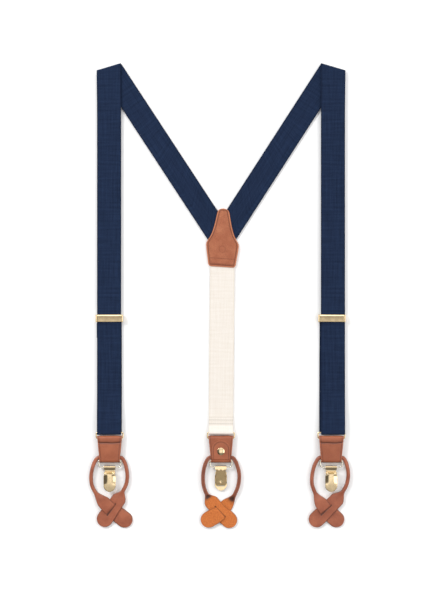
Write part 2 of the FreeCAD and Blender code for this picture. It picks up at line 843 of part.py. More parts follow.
LOOP_SWAY = {"left": 4.9, "right": -4.5, "back": 2.6}
LOOP_TILT = {"left": 2.0, "right": 2.0, "back": -2.0}
CORD_HALF_ROUTE = [
    # half-width and distance below the channel of one arm's corners, then the bend's radius there
    (13.6, 0.0, 3.2),
    (16.9, -8.3, 22.0),
    (19.4, -19.8, 25.0),
    (17.9, -30.8, 22.0),
    (13.2, -40.6, 0.0),
]


def loop_place(side):
    """The loop leans down a little, so that its tabs lie on the surface."""
    channel = Placement(Vector(0, SIZES["loop_y"], SIZES["loop_z"]), Rotation())
    return strap_place(side) * channel * Placement(Vector(), Rotation(Vector(1, 0, 0), LOOP_TILT[side]))


def sway(side, x, y):
    """Slides a point of the loop sideways in proportion to its distance below the channel."""
    return x + LOOP_SWAY[side] * y / (SIZES["lobe_y"] - SIZES["loop_y"])


def loop_cord(side):
    """One rolled cord: up one arm, through the tab's channel and down the other arm."""
    right = [(sway(side, x, y), y, radius) for x, y, radius in CORD_HALF_ROUTE]
    left = [(sway(side, -x, y), y, radius) for x, y, radius in reversed(CORD_HALF_ROUTE)]
    body = new_body(f"loop_{side}_cord", loop_place(side))
    path = Drawing(body, "path").run(round_corners([*left, *right], closed=False), closed=False)
    section = Drawing(body, "section", "YZ_Plane").circle(0, 0, size("loop_cord_radius"))
    pipe(body, section, path)


def loop_tab(side, letter):
    """A tongue from one arm's end across to the other side, with a slit for the other tongue."""
    sign = 1 if letter == "a" else -1
    start_x, start_y = CORD_HALF_ROUTE[-1][:2]
    start = Vector(sway(side, sign * start_x, start_y), start_y, 0)
    lobe_y = SIZES["lobe_y"] - SIZES["loop_y"]
    end = Vector(sway(side, -sign * SIZES["lobe_spread"], lobe_y), lobe_y, 0)
    run = end - start
    heading = Rotation(Vector(0, -1, 0), run)
    neck, lobe = 1.9, size("lobe_radius")
    spread = math.asin((SIZES["lobe_radius"] - neck) / run.Length)
    side_x = round(math.cos(spread), 9)
    side_y = round(math.sin(spread), 9)
    right = (lobe * side_x, -run.Length + lobe * side_y)
    left = (-lobe * side_x, -run.Length + lobe * side_y)
    outline = [
        (-neck, 0),
        (*left,),
        (0, -run.Length - lobe, lobe),
        (*right, lobe),
        (neck, 0),
    ]
    body = new_body(f"loop_{side}_tab_{letter}", loop_place(side) * Placement(start, heading))
    thick = size("lobe_thick")
    level = 0.1 if letter == "a" else -thick - 0.1
    pad(body, Drawing(body, "outline", lift=level).run(outline), thick)
    slit = Drawing(body, "slit", lift=level)
    slit.box(-0.5, -run.Length - 2.0, 0.5, -run.Length + 14.0)
    pocket(body, slit.sketch, 10)


def build_all():
    thick = size("leather_thick")
    yoke_panel("yoke_bottom_panel", as_size(0))
    yoke_panel("yoke_top_panel", thick + size("webbing_thick"))
    back_strap()
    for side in FRONTS:
        strap_back(side)
        strap_front(side)
        strap_return(side)
        strap_hem(side)
        slider_frame(side)
        slider_pin(side)
        slider_lever(side)
    for side in SIDES:
        tab_ring(side)
        tab_leather(side)
        tab_flap(side)
        tab_snap_stud(side)
        tab_snap_cap(side)
        clip_ring(side)
        clip_frame(side)
        clip_pin(side)
        clip_pad(side)
        clip_lever(side)
        clip_jaw(side)
        loop_cord(side)
        loop_tab(side, "a")
        loop_tab(side, "b")


def export_all():
    """Stops on anything that failed to compute, then writes one file for each sub-part."""
    doc.recompute()
    for item in doc.Objects:
        if {"Invalid", "Error"} & set(item.State):
            raise SystemExit(f"{item.Name} of {item.InList} failed: {item.State}")
    bodies = [item for item in doc.Objects if item.isDerivedFrom("PartDesign::Body")]
    os.makedirs("parts", exist_ok=True)
    for body in bodies:
        if body.Shape.isNull() or not body.Shape.isValid():
            raise SystemExit(f"{body.Label} has no valid shape")
        if len(body.Shape.Solids) != 1:
            raise SystemExit(f"{body.Label} is {len(body.Shape.Solids)} solids")
        body.Shape.exportStep(f"parts/{body.Label}.step")
    whole = FreeCAD.BoundBox()
    for body in bodies:
        whole.add(body.Shape.BoundBox)
    print(len(bodies), "pieces in a box", whole)


fill_sheet()
build_all()
export_all()
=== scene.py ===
# %% [markdown]
# # Dress braces with clips and button loops
#
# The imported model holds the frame: every hinge, ring and clip already has its place. This notebook
# dresses it. Webbing, leather, wire and plated metal are each drawn as a surface over two
# parameters, carried to their place by the frame, and finished with a material made of nodes.

# %% load the frame
import json
import math

import bmesh
import bpy
import numpy as np
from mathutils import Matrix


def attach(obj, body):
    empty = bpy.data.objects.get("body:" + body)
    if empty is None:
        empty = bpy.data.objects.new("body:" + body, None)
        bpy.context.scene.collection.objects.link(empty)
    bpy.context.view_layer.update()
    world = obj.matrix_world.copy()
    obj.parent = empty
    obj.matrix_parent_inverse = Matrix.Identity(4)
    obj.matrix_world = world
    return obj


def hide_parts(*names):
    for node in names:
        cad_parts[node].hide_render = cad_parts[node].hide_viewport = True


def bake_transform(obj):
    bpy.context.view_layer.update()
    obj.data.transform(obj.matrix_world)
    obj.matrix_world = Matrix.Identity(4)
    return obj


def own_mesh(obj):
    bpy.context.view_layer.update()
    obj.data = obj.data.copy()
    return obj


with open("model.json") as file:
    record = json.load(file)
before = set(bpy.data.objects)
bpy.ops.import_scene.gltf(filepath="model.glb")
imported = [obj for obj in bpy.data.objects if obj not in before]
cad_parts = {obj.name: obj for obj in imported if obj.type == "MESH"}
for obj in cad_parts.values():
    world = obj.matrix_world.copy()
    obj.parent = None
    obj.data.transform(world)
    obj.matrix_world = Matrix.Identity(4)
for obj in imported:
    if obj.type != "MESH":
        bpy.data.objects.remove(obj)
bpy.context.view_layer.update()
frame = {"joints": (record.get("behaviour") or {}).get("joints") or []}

MM = 0.001
JOINTS = {joint["name"]: joint for joint in frame["joints"]}
SIDES = ("left", "right", "back")
FRONTS = ("left", "right")

# %% [markdown]
# ## Camera, table and light
#
# The braces lie on a white table and are seen from straight above. A large soft lamp up and to the
# left gives the pale shadows that fall to the right and below; the bright world fills the rest.

# %% camera, floor and lamps
VIEW_CENTRE = (-0.0021, -0.0047)
VIEW_HEIGHT = 1.587
KEY_WATTS = 16.0
FILL_WATTS = 7.0


def look_down():
    data = bpy.data.cameras.new("camera")
    data.lens = 90.0
    data.sensor_width = 36.0
    camera = bpy.data.objects.new("camera", data)
    camera.location = (*VIEW_CENTRE, VIEW_HEIGHT)
    bpy.context.collection.objects.link(camera)
    bpy.context.scene.camera = camera


def lamp(name, place, aim, size, watts):
    """An area lamp at a place, turned to face the aim."""
    data = bpy.data.lights.new(name, "AREA")
    data.size = size
    data.energy = watts
    light = bpy.data.objects.new(name, data)
    light.location = place
    direction = np.array(aim) - np.array(place)
    flat = math.hypot(direction[0], direction[1])
    light.rotation_euler = (math.atan2(flat, -direction[2]), 0.0, math.atan2(-direction[0], direction[1]))
    bpy.context.collection.objects.link(light)


look_down()
bpy.context.scene.view_settings.view_transform = "Standard"
lamp("key", (-1.05, 0.72, 1.35), (0, 0, 0), 0.55, KEY_WATTS)
lamp("fill", (1.3, -0.25, 1.45), (0, 0, 0), 1.2, FILL_WATTS)
print("camera at", VIEW_HEIGHT, "m")

# %% [markdown]
# ## Surfaces from grids
#
# Almost everything here is a strip of something: webbing, leather or plate. So one function makes
# them all. It takes the strip's middle surface as a function of the distance along it and the
# distance across it, and wraps a rounded rectangle round that surface. Wires and cords are
# rounded sections carried along a path, and turned pieces are a profile spun round an axis.

# %% mesh from a grid


def make_piece(name, points, across=None, closed_path=False, smooth=40.0, marks=None):
    """A tube-like mesh from an array of rings: rings x points round x 3, in metres.

    Neighbouring rings are joined by four-sided faces. An open tube gets a flat face at each end.
    across is an optional rings x points x 2 array of cloth coordinates, kept as the UV map, and
    marks is a dictionary of rings x points arrays, kept as attributes of the mesh.
    """
    rings, around = points.shape[:2]
    index = np.arange(rings * around).reshape(rings, around)
    last = rings if closed_path else rings - 1
    here = index[:last]
    there = np.roll(index, -1, axis=0)[:last]
    quads = np.stack([here, np.roll(here, -1, 1), np.roll(there, -1, 1), there], axis=-1).reshape(-1, 4)
    faces = quads.tolist()
    if not closed_path:
        faces += [index[0][::-1].tolist(), index[-1].tolist()]
    mesh = bpy.data.meshes.new(name)
    mesh.from_pydata(points.reshape(-1, 3).tolist(), [], faces)
    for mark, values in (marks or {}).items():
        attribute = mesh.attributes.new(mark, "FLOAT", "POINT")
        attribute.data.foreach_set("value", np.asarray(values, dtype=np.float32).ravel())
    if across is not None:
        layer = mesh.uv_layers.new(name="cloth")
        corners = np.empty(len(mesh.loops), dtype=np.int64)
        mesh.loops.foreach_get("vertex_index", corners)
        flat = np.asarray(across, dtype=np.float32).reshape(-1, 2)
        layer.data.foreach_set("uv", flat[corners].ravel())
    return finish_mesh(name, mesh, smooth)


def finish_mesh(name, mesh, smooth):
    """Turns all faces outwards, shades them smooth up to an angle and links the object."""
    shape = bmesh.new()
    shape.from_mesh(mesh)
    bmesh.ops.recalc_face_normals(shape, faces=shape.faces)
    shape.to_mesh(mesh)
    shape.free()
    mesh.shade_smooth()
    mesh.set_sharp_from_angle(angle=math.radians(smooth))
    piece = bpy.data.objects.new(name, mesh)
    bpy.context.collection.objects.link(piece)
    return piece


def strip(
    name, middle, along, half_width, thick, square=0.7, ends=0.0, smooth=40.0, marks=None, columns=11
):
    """A strip with rounded edges about a middle surface.

    middle(s, w) gives points in metres for the distance along s and across w, both in mm.
    half_width and thick are numbers or arrays over the stations in along. marks gives each
    attribute's value from the distance, the place across and the half width. The faces stand
    half the thickness to each side of the middle, along its normal, which is the cross product of
    its slopes across and along. Over the last `ends` mm the thickness rounds off to nothing much.
    """
    along = np.asarray(along, dtype=float)
    half = np.broadcast_to(np.asarray(half_width, dtype=float), along.shape)
    depth = np.broadcast_to(np.asarray(thick, dtype=float), along.shape) / 2
    if ends > 0:
        near = np.minimum(along - along[0], along[-1] - along)
        depth = depth * np.sqrt(np.clip(1 - (1 - np.clip(near / ends, 0.02, 1)) ** 2, 0.05, 1))
    edge = np.minimum(depth, half * 0.9)
    flats = np.linspace(-1, 1, columns)
    angles = np.linspace(np.pi / 2, -np.pi / 2, 9)[1:-1]
    c = np.abs(np.cos(angles)) ** square
    h = np.sign(np.sin(angles)) * np.abs(np.sin(angles)) ** square
    inner = (half - edge)[:, None]
    e = edge[:, None]
    w = np.hstack([inner * flats, inner + e * c, inner * flats[::-1], -inner - e * c[::-1]])
    one = np.ones((len(along), len(flats)))
    rise = np.hstack([one, np.broadcast_to(h, (len(along), len(h))), -one,
                      np.broadcast_to(-h, (len(along), len(h)))])
    s = np.broadcast_to(along[:, None], w.shape)
    step = 0.02
    centre = middle(s, w)
    slope_w = middle(s, w + step) - middle(s, w - step)
    slope_s = middle(s + step, w) - middle(s - step, w)
    normal = np.cross(slope_w, slope_s)
    normal /= np.maximum(np.linalg.norm(normal, axis=-1, keepdims=True), 1e-12)
    points = centre + normal * (rise * depth[:, None])[..., None] * MM
    cloth = np.stack([w * MM, s * MM], axis=-1)
    found = {mark: value(s, w, half[:, None]) for mark, value in (marks or {}).items()}
    return make_piece(name, points, cloth, smooth=smooth, marks=found)


def tube(name, path, radius, closed=True, around=16, upward=(0.0, 0.0, 1.0)):
    """A round wire along a path of points in metres: at each point a circle across the path."""
    ahead = np.roll(path, -1, 0) - np.roll(path, 1, 0)
    if not closed:
        ahead[0], ahead[-1] = path[1] - path[0], path[-1] - path[-2]
    ahead /= np.linalg.norm(ahead, axis=1, keepdims=True)
    side = np.cross(ahead, upward)
    side /= np.linalg.norm(side, axis=1, keepdims=True)
    rise = np.cross(side, ahead)
    turn = np.linspace(0, 2 * np.pi, around, endpoint=False)[None, :, None]
    points = path[:, None] + radius * (np.cos(turn) * side[:, None] + np.sin(turn) * rise[:, None])
    return make_piece(name, points, closed_path=closed)


def profile_bar(name, place, outline, half, bevel=0.18, smooth=32.0):
    """A constant outline (y, z) carried across x, its two ends shrunk a little to bevel them.

    The rings run from one end to the other; the end rings are drawn in towards the outline's middle.
    """
    outline = np.asarray(outline, dtype=float)
    centre = outline.mean(0)
    size = np.abs(outline - centre).max(0)
    rings = []
    steps = ((0.0, 1.0), (0.3, 0.3), (1.0, 0.0), (1.9, 0.0))
    stations = [(-half + bevel * step, inset) for step, inset in steps]
    stations += [(half - bevel * step, inset) for step, inset in reversed(steps)]
    for x, inset in stations:
        scale = 1 - inset * bevel / np.maximum(size, bevel * 1.5)
        yz = centre + (outline - centre) * scale
        rings.append(np.column_stack([np.full(len(yz), x), yz]))
    return make_piece(name, place(np.array(rings)), smooth=smooth)


def spun(name, place, centre, profile, around=48):
    """A turned piece: points (radius, height) spun round the local Z axis through a centre (x, y)."""
    profile = np.asarray(profile, dtype=float)
    turn = np.linspace(0, 2 * np.pi, around, endpoint=False)
    x = centre[0] + profile[:, :1] * np.cos(turn)
    y = centre[1] + profile[:, :1] * np.sin(turn)
    z = np.broadcast_to(profile[:, 1:], x.shape)
    return make_piece(name, place(np.stack([x, y, z], axis=-1)), smooth=30.0)


# %% [markdown]
# ## Places
#
# Each end of the braces is drawn in its own upright frame, in millimetres: the strap's centre line
# is x = 0 and the front face is up. The hinge on which the tab swings says where that frame stands
# and which way it leans; the back end's frame comes out turned over, as the real one is.

# %% the ends' frames
BAR_Y, BAR_Z = -144.3, 4.7
RING_BAR = np.array([0.0, BAR_Y, BAR_Z])


def end_frame(side):
    """The hinge's place, and the end's own three directions as rows."""
    joint = JOINTS[f"tab_{side}_swing"]
    x = -np.array(joint["axis"])
    z = np.array([0.0, 0.0, -1.0 if side == "back" else 1.0])
    y = np.cross(z, x)
    return np.array(joint["pos_m"]), np.array([x, y, z])


def placer(side, base=(0.0, 0.0, 0.0), tilt=0.0):
    """A function that carries an end's own points, in mm from a base point, to metres.

    A tilt turns them about the end's X axis first, by the usual rotation of y and z.
    """
    origin, axes = end_frame(side)
    c, s = math.cos(tilt), math.sin(tilt)
    spin = np.array([[1, 0, 0], [0, c, s], [0, -s, c]])

    def place(points):
        return origin + (np.asarray(points) @ spin + np.array(base) - RING_BAR) @ axes * MM

    return place


def lines(*points, step=0.5):
    """Straight runs through (y, z) points, cut into short steps."""
    out = []
    for a, b in zip(points[:-1], points[1:]):
        a, b = np.array(a, float), np.array(b, float)
        count = max(2, int(np.linalg.norm(b - a) / step) + 1)
        out.append(a + (b - a) * np.linspace(0, 1, count)[:, None])
    return np.vstack(out)


def arc(centre, radius, start, end, count=14):
    """Points on an arc in the (y, z) plane, angles in degrees from +Y towards +Z."""
    angle = np.radians(np.linspace(start, end, count))
    return np.column_stack([centre[0] + radius * np.cos(angle), centre[1] + radius * np.sin(angle)])


def joined(*parts):
    """One route from several, without doubled points, and each point's distance along it."""
    route = np.vstack(parts)
    keep = np.r_[True, np.linalg.norm(np.diff(route, axis=0), axis=1) > 1e-4]
    route = route[keep]
    distance = np.r_[0, np.cumsum(np.linalg.norm(np.diff(route, axis=0), axis=1))]
    return route, distance


def follow(place, route, distance, lift=None):
    """The middle surface of a strip whose side view is a route: x across, (y, z) along it."""

    def middle(s, w):
        y = np.interp(s, distance, route[:, 0])
        z = np.interp(s, distance, route[:, 1])
        if lift is not None:
            z = z + lift(y, w, s)
        # past either end the route runs straight on
        ahead = route[-1] - route[-2]
        ahead = ahead / np.linalg.norm(ahead)
        behind = (route[0] - route[1]) / np.linalg.norm(route[0] - route[1])
        over = np.maximum(s - distance[-1], 0)
        under = np.maximum(distance[0] - s, 0)
        y = y + over * ahead[0] + under * behind[0]
        z = z + over * ahead[1] + under * behind[1]
        return place(np.stack([w, y, z], axis=-1))

    return middle


def flat_sheet(place, height):
    """The middle surface of a flat piece: s is y, and its height is a function of (x, y)."""

    def middle(s, w):
        return place(np.stack([w, s, height(w, s)], axis=-1))

    return middle


def ease(x):
    """A smooth step from 0 to 1: three x squared less two x cubed."""
    x = np.clip(x, 0, 1)
    return x * x * (3 - 2 * x)


def bell(x, width):
    """1 at 0, falling off smoothly within about a width and a half."""
    return np.exp(-((x / width) ** 2))


# %% [markdown]
# ## Stitches
#
# A stitch is a short thread that dips at both ends. One thread is a small spindle; a seam is that
# spindle copied along a line by arrays, each turned to the line's direction.

# %% threads


def seam(name, path, upward, pitch=2.4, length=1.7, radius=0.24):
    """Spindles along a path in metres. Their section is a circle whose radius swells from the ends.

    path and upward are arrays of points and of the leather's outward directions there.
    """
    distance = np.r_[0, np.cumsum(np.linalg.norm(np.diff(path, axis=0), axis=1))]
    count = max(2, int(distance[-1] / (pitch * MM)))
    middle = (np.arange(count) + 0.5) * distance[-1] / count
    ends = [middle - length * MM / 2, middle + length * MM / 2]
    start, finish, up = (
        np.column_stack([np.interp(at, distance, table[:, k]) for k in range(3)])
        for at, table in ((ends[0], path), (ends[1], path), (middle, upward))
    )
    ahead = finish - start
    ahead /= np.linalg.norm(ahead, axis=1, keepdims=True)
    side = np.cross(ahead, up)
    t = np.linspace(-1, 1, 6)
    swell = np.sqrt(np.clip(1 - t**2 * 0.92, 0, 1)) * radius * MM
    sink = -(t**2) * radius * MM * 0.9
    turn = np.linspace(0, 2 * np.pi, 6, endpoint=False)
    ahead, side, up = (direction[:, None, None] for direction in (ahead, side, up))
    t, swell, sink = (value[None, :, None, None] for value in (t, swell, sink))
    turn = turn[None, None, :, None]
    shift = (start + finish)[:, None, None] / 2 + t * ahead * (length * MM / 2)
    ring = np.cos(turn) * side + np.sin(turn) * up
    points = shift + ring * swell + sink * up
    total, rings, around = points.shape[:3]
    index = np.arange(total * rings * around).reshape(total, rings, around)
    here, there = index[:, :-1], index[:, 1:]
    quads = np.stack([here, np.roll(here, -1, 2), np.roll(there, -1, 2), there], axis=-1)
    faces = quads.reshape(-1, 4).tolist()
    faces += index[:, 0, ::-1].tolist() + index[:, -1].tolist()
    mesh = bpy.data.meshes.new(name)
    mesh.from_pydata(points.reshape(-1, 3).tolist(), [], faces)
    return finish_mesh(name, mesh, 60.0)


def seam_on(name, place, xy, height, up=1.0, **settings):
    """A seam over local points (x, y) at a height: a number, or an array of the same length."""
    xy = np.asarray(xy, dtype=float)
    z = np.broadcast_to(np.asarray(height, dtype=float), (len(xy),))
    path = place(np.column_stack([xy, z]))
    lifted = place(np.column_stack([xy, z + up]))
    return seam(name, path, (lifted - path) / MM / abs(up), **settings)


# %% [markdown]
# ## Node maths in plain Python
#
# A material's pattern is a formula. The class below wraps a node's socket so that the formula can
# be written as one: adding two values adds a Math node behind them.

# %% the socket class


class Value:
    """A socket that can be used in arithmetic."""

    def __init__(self, finish, socket):
        self.finish = finish
        self.socket = socket

    def math(self, operation, other=None, swap=False):
        values = [self] if other is None else ([other, self] if swap else [self, other])
        return self.finish.node("ShaderNodeMath", {"operation": operation}, *values)

    def __add__(self, other):
        return self.math("ADD", other)

    def __sub__(self, other):
        return self.math("SUBTRACT", other)

    def __rsub__(self, other):
        return self.math("SUBTRACT", other, swap=True)

    def __mul__(self, other):
        return self.math("MULTIPLY", other)

    __radd__ = __add__
    __rmul__ = __mul__

    def clamp(self):
        return self.math("MAXIMUM", 0.0).math("MINIMUM", 1.0)

    def band(self, low, high):
        """0 below low and 1 above high, straight between."""
        return ((self - low) * (1.0 / (high - low))).clamp()


class Finish:
    """A material being built: one Principled shader and whatever feeds it.

    bare() makes the same helper round any other node tree, such as the world's.
    """

    @classmethod
    def bare(cls, tree):
        helper = cls.__new__(cls)
        helper.tree = tree
        return helper

    def __init__(self, name, **fixed):
        self.material = bpy.data.materials.new(name)
        self.material.use_nodes = True
        self.tree = self.material.node_tree
        self.shader = self.tree.nodes["Principled BSDF"]
        for socket, value in fixed.items():
            self.shader.inputs[socket.replace("_", " ")].default_value = value

    def node(self, kind, settings, *values, output=0, **named):
        node = self.tree.nodes.new(kind)
        for key, value in settings.items():
            setattr(node, key, value)
        pairs = list(enumerate(values)) + list(named.items())
        for key, value in pairs:
            socket = node.inputs[key.replace("_", " ") if isinstance(key, str) else key]
            if isinstance(value, Value):
                self.tree.links.new(value.socket, socket)
            elif value is not None:
                socket.default_value = value
        return Value(self, node.outputs[output])

    def object_place(self):
        return self.node("ShaderNodeTexCoord", {}, output="Object")

    def noise(self, scale, detail=3.0, at=None, rough=0.55):
        at = at or self.object_place()
        return self.node("ShaderNodeTexNoise", {}, Vector=at, Scale=scale, Detail=detail, Roughness=rough)

    def cells(self, scale, at=None):
        """The distance to the edges of a pattern of irregular cells."""
        at = at or self.object_place()
        return self.node("ShaderNodeTexVoronoi", {"feature": "DISTANCE_TO_EDGE"}, Vector=at, Scale=scale)

    def split(self, vector):
        """The X, Y and Z of a vector."""
        parts = self.tree.nodes.new("ShaderNodeSeparateXYZ")
        self.tree.links.new(vector.socket, parts.inputs[0])
        return [Value(self, output) for output in parts.outputs]

    def cloth(self):
        """The piece's own cloth coordinates: as one, and across and along, in metres."""
        uv = self.node("ShaderNodeUVMap", {"uv_map": "cloth"})
        return uv, *self.split(uv)[:2]

    def mark(self, name):
        return self.node("ShaderNodeAttribute", {"attribute_name": name}, output="Fac")

    def blend(self, factor, first, second):
        """A colour mix, whose colour sockets are the Mix node's seventh and eighth."""
        node = self.tree.nodes.new("ShaderNodeMix")
        node.data_type = "RGBA"
        for slot, value in ((0, factor), (6, first), (7, second)):
            if isinstance(value, Value):
                self.tree.links.new(value.socket, node.inputs[slot])
            else:
                node.inputs[slot].default_value = value
        return Value(self, node.outputs[2])

    def feed(self, **sockets):
        for name, value in sockets.items():
            self.tree.links.new(value.socket, self.shader.inputs[name.replace("_", " ")])

    def bump(self, height, strength, distance):
        out = self.node("ShaderNodeBump", {}, Height=height, Strength=strength, Distance=distance)
        self.feed(Normal=out)


def colour(red, green, blue):
    """A colour given as screen values from 0 to 255, turned into linear light."""
    channels = [value / 255 for value in (red, green, blue)]
    return (*(((c + 0.055) / 1.055) ** 2.4 if c > 0.0404 else c / 12.92 for c in channels), 1.0)


# %% [markdown]
# ## The room
#
# The room is what the polished metal mirrors: bright overhead and towards the far side, with a
# narrow window beyond, a dark panel on the left and a darker strip near the front. To the table
# it is just an even soft light.

# %% room
ROOM_LEVEL = 1.04


def room():
    """The world's brightness is a sum of bands, each over a range of directions."""
    world = bpy.data.worlds.new("studio")
    world.use_nodes = True
    bpy.context.scene.world = world
    fin = Finish.bare(world.node_tree)
    direction = fin.node("ShaderNodeTexCoord", {}, output="Generated")
    x, y, z = fin.split(direction)
    left_panel = (0 - x).band(0.24, 0.36) * (x + 0.90).band(0.0, 0.1)
    front_strip = (0 - y).band(0.32, 0.42) * (y + 0.75).band(0.0, 0.1)
    overhead = z.band(0.955, 0.985)
    far_light = y.band(0.25, 0.45)
    window = y.band(0.50, 0.56) * (0.76 - y).band(0.0, 0.06)
    bright = 0.76 + far_light * 0.32 + overhead * 0.5 + window * 1.1
    level = bright - left_panel * 0.62 - front_strip * 0.56
    background = fin.tree.nodes["Background"]
    fin.tree.links.new((level * ROOM_LEVEL).math("MAXIMUM", 0.05).socket, background.inputs["Strength"])
    background.inputs["Color"].default_value = (1.0, 1.0, 1.0, 1.0)


room()
print("room ready")

# %% [markdown]
# ## Webbing
#
# Elastic webbing has fine ribs straight across it, where the rubber is wrapped in yarn, a plain
# firm edge on each side, and a faint unevenness along its length. The pattern follows the
# cloth's own coordinates, so it turns the corner with the strap at the shoulder.

# %% webbing finishes
RIB = 0.00092
YARN = 0.00064


def webbing(name, dark, base, light, depth, rough):
    """Ribs are a sine along the strap, yarns a sine across it; stretched noise streaks the shade."""
    fin = Finish(name, Roughness=rough, Specular_IOR_Level=0.12, Sheen_Weight=0.03, Sheen_Roughness=0.5)
    uv, across, along = fin.cloth()
    rib = (along * (2 * math.pi / RIB)).math("SINE")
    yarn = (across * (2 * math.pi / YARN)).math("SINE")
    bands = fin.noise(1.0, 2.0, at=fin.node("ShaderNodeMapping", {}, Vector=uv, Scale=(30.0, 420.0, 1.0)))
    streaks = fin.noise(1.0, 2.0, at=fin.node("ShaderNodeMapping", {}, Vector=uv, Scale=(620.0, 26.0, 1.0)))
    fleck = fin.noise(1700.0, 2.0)
    crease = fin.mark("crease")
    edge = across.math("ABSOLUTE").band(0.0113, 0.0119)
    shade = rib * 0.10 + yarn * 0.06 + (bands - 0.5) * 2.2 + (streaks - 0.5) * 2.2 + (fleck - 0.5) * 2.0
    tone = fin.blend((shade * 0.5 + 0.5).clamp(), dark, light)
    tone = fin.blend(0.3, tone, base)
    tone = fin.blend(crease.band(0.2, 1.2) * 0.45, tone, light)
    tone = fin.blend(edge * 0.4, tone, dark)
    # painted shade: where the mark `shade` is set, the cloth darkens towards a deeper tone
    tone = fin.blend(fin.mark("shade"), tone, tuple(c * 0.72 for c in dark[:3]) + (1.0,))
    fin.feed(Base_Color=tone)
    fin.bump(rib * 0.5 + yarn * 0.3 + bands * 0.6 + streaks * 0.5 + fleck * 0.4, 0.7, depth)
    return fin.material


NAVY = webbing("navy_webbing", colour(13, 24, 46), colour(24, 38, 62), colour(36, 53, 84), 0.00018, 0.85)
CREAM = webbing(
    "cream_webbing", colour(225, 215, 202), colour(235, 227, 218), colour(241, 235, 228), 0.00013, 0.88
)
print("webbing in two colours")

# %% [markdown]
# ## Leather
#
# Three leathers: the yoke's is embossed with a pebble grain, the tabs' is nearly smooth with fine
# creases, and the button loops show their rough flesh side at the back.

# %% leather finishes


def edge_lines(fin, inset):
    """The stitched groove at an inset from the edge, in mm, and the rounded rim outside it: masks for
    painted shade in the groove and a painted highlight on the rim.

    The mark `inset` is the distance to the piece's nearest edge, in mm.
    """
    away = fin.mark("inset")
    groove = 1 - (away - inset).math("ABSOLUTE").band(0.3, 0.8)
    return groove, 1 - away.band(inset - 1.2, inset - 0.5)


def pebbled(name, base, light, dark):
    """Pebble grain: rounded cells with creases between them, warped a little by noise."""
    fin = Finish(name, Specular_IOR_Level=0.45)
    place = fin.object_place()
    wobble = fin.node("ShaderNodeTexNoise", {}, Vector=place, Scale=600.0, output="Color")
    shifted = fin.node("ShaderNodeMix", {"data_type": "VECTOR"}, None, output=1)
    shifted.socket.node.inputs[0].default_value = 0.0006
    fin.tree.links.new(place.socket, shifted.socket.node.inputs[4])
    fin.tree.links.new(wobble.socket, shifted.socket.node.inputs[5])
    crease = fin.cells(950.0, at=shifted).band(0.0, 0.16)
    cloud = fin.noise(70.0, 3.0)
    fine = fin.noise(1500.0, 2.0)
    groove, rim = edge_lines(fin, 1.9)
    tone = fin.blend(cloud.band(0.42, 0.85), base, light)
    tone = fin.blend((1 - crease) * 0.4 + (fine - 0.4) * 0.5, tone, dark)
    # painted highlight on the rounded rim, then painted shade in the stitched groove and along the mark
    # `shade`
    tone = fin.blend(rim * 0.75, tone, light)
    tone = fin.blend((groove + fin.mark("shade")).clamp() * 0.75, tone, dark)
    fin.feed(Base_Color=tone, Roughness=(0.60 - crease * 0.10 + fine * 0.08))
    fin.bump(crease * 0.8 + fine * 0.2 - groove * 2.5, 0.55, 0.00018)
    return fin.material


def smooth_leather(name, base, light, dark, suede=None):
    """Fine creases over cloudy dye, with painted highlights and painted shade along marked rims, grooves
    and hollows; where the mark `flesh` is 1 the rough suede side shows.
    """
    fin = Finish(name, Specular_IOR_Level=0.5)
    cloud = fin.noise(85.0, 3.0)
    crease = fin.cells(1500.0).band(0.0, 0.12)
    fine = fin.noise(2300.0, 2.0)
    tone = fin.blend(cloud.band(0.32, 0.68), base, light)
    tone = fin.blend((1 - crease) * 0.22 + fine.band(0.5, 0.8) * 0.16, tone, dark)
    rough = 0.34 + fine * 0.16
    height = crease * 0.5 + fine * 0.4
    if not suede:
        groove, rim = edge_lines(fin, 1.6)
        # painted highlight on the rounded rim and along the highlight mark, then painted shade in the
        # stitched groove and along the mark `shade`
        tone = fin.blend((rim * 0.5 + fin.mark("highlight")).clamp(), tone, light)
        tone = fin.blend((groove * 0.55 + fin.mark("shade")).clamp() * 0.9, tone, dark)
        height = height - groove * 2.0
    else:
        flesh = fin.mark("flesh")
        nap = fin.noise(900.0, 5.0, rough=0.7)
        hide = fin.blend(nap.band(0.3, 0.7), suede[1], suede[0])
        across, slit = fin.cloth()[1:]
        # painted shade: a dark line along the slit stands for its opening
        groove = 1 - across.math("ABSOLUTE").band(0.0005, 0.0009)
        groove = groove * (1 - slit.math("ABSOLUTE").band(0.0078, 0.0084))
        # painted highlight just inside the rim and painted shade on the rim, on both the grain and the
        # flesh side; then painted shade along the slit and in the hollows
        rim = fin.mark("rim")
        tone = fin.blend(rim.band(0.0, 0.25) * 0.4, tone, light)
        tone = fin.blend(rim.band(0.35, 0.75) * 0.8, tone, dark)
        tone = fin.blend(flesh, tone, fin.blend(rim.band(0.3, 0.8) * 0.45, hide, suede[2]))
        tone = fin.blend(groove * 0.85, tone, suede[2])
        tone = fin.blend(fin.mark("hollow_shade"), tone, suede[2])
        rough = rough + flesh * 0.4
        height = height + flesh * nap * 2.0 - groove * 3.0
    fin.feed(Base_Color=tone, Roughness=rough)
    fin.bump(height, 0.5, 0.00014)
    return fin.material


YOKE_LEATHER = pebbled("yoke_leather", colour(168, 94, 60), colour(196, 123, 85), colour(100, 46, 26))
TAB_LEATHER = smooth_leather("tab_leather", colour(149, 79, 48), colour(168, 94, 61), colour(84, 38, 22))
SUEDE = (colour(218, 128, 60), colour(176, 88, 36), colour(60, 28, 14))
LOOP_LEATHER = smooth_leather(
    "loop_leather", colour(142, 73, 48), colour(172, 98, 68), colour(72, 32, 18), SUEDE
)
print("three leathers")

# %% [markdown]
# ## Metal, thread and pad
#
# The plated metal is polished, so it is mostly its reflections; faint handling marks vary its
# roughness. The clip's back plate is knurled to grip the cloth.

# %% metal, thread and pad finishes


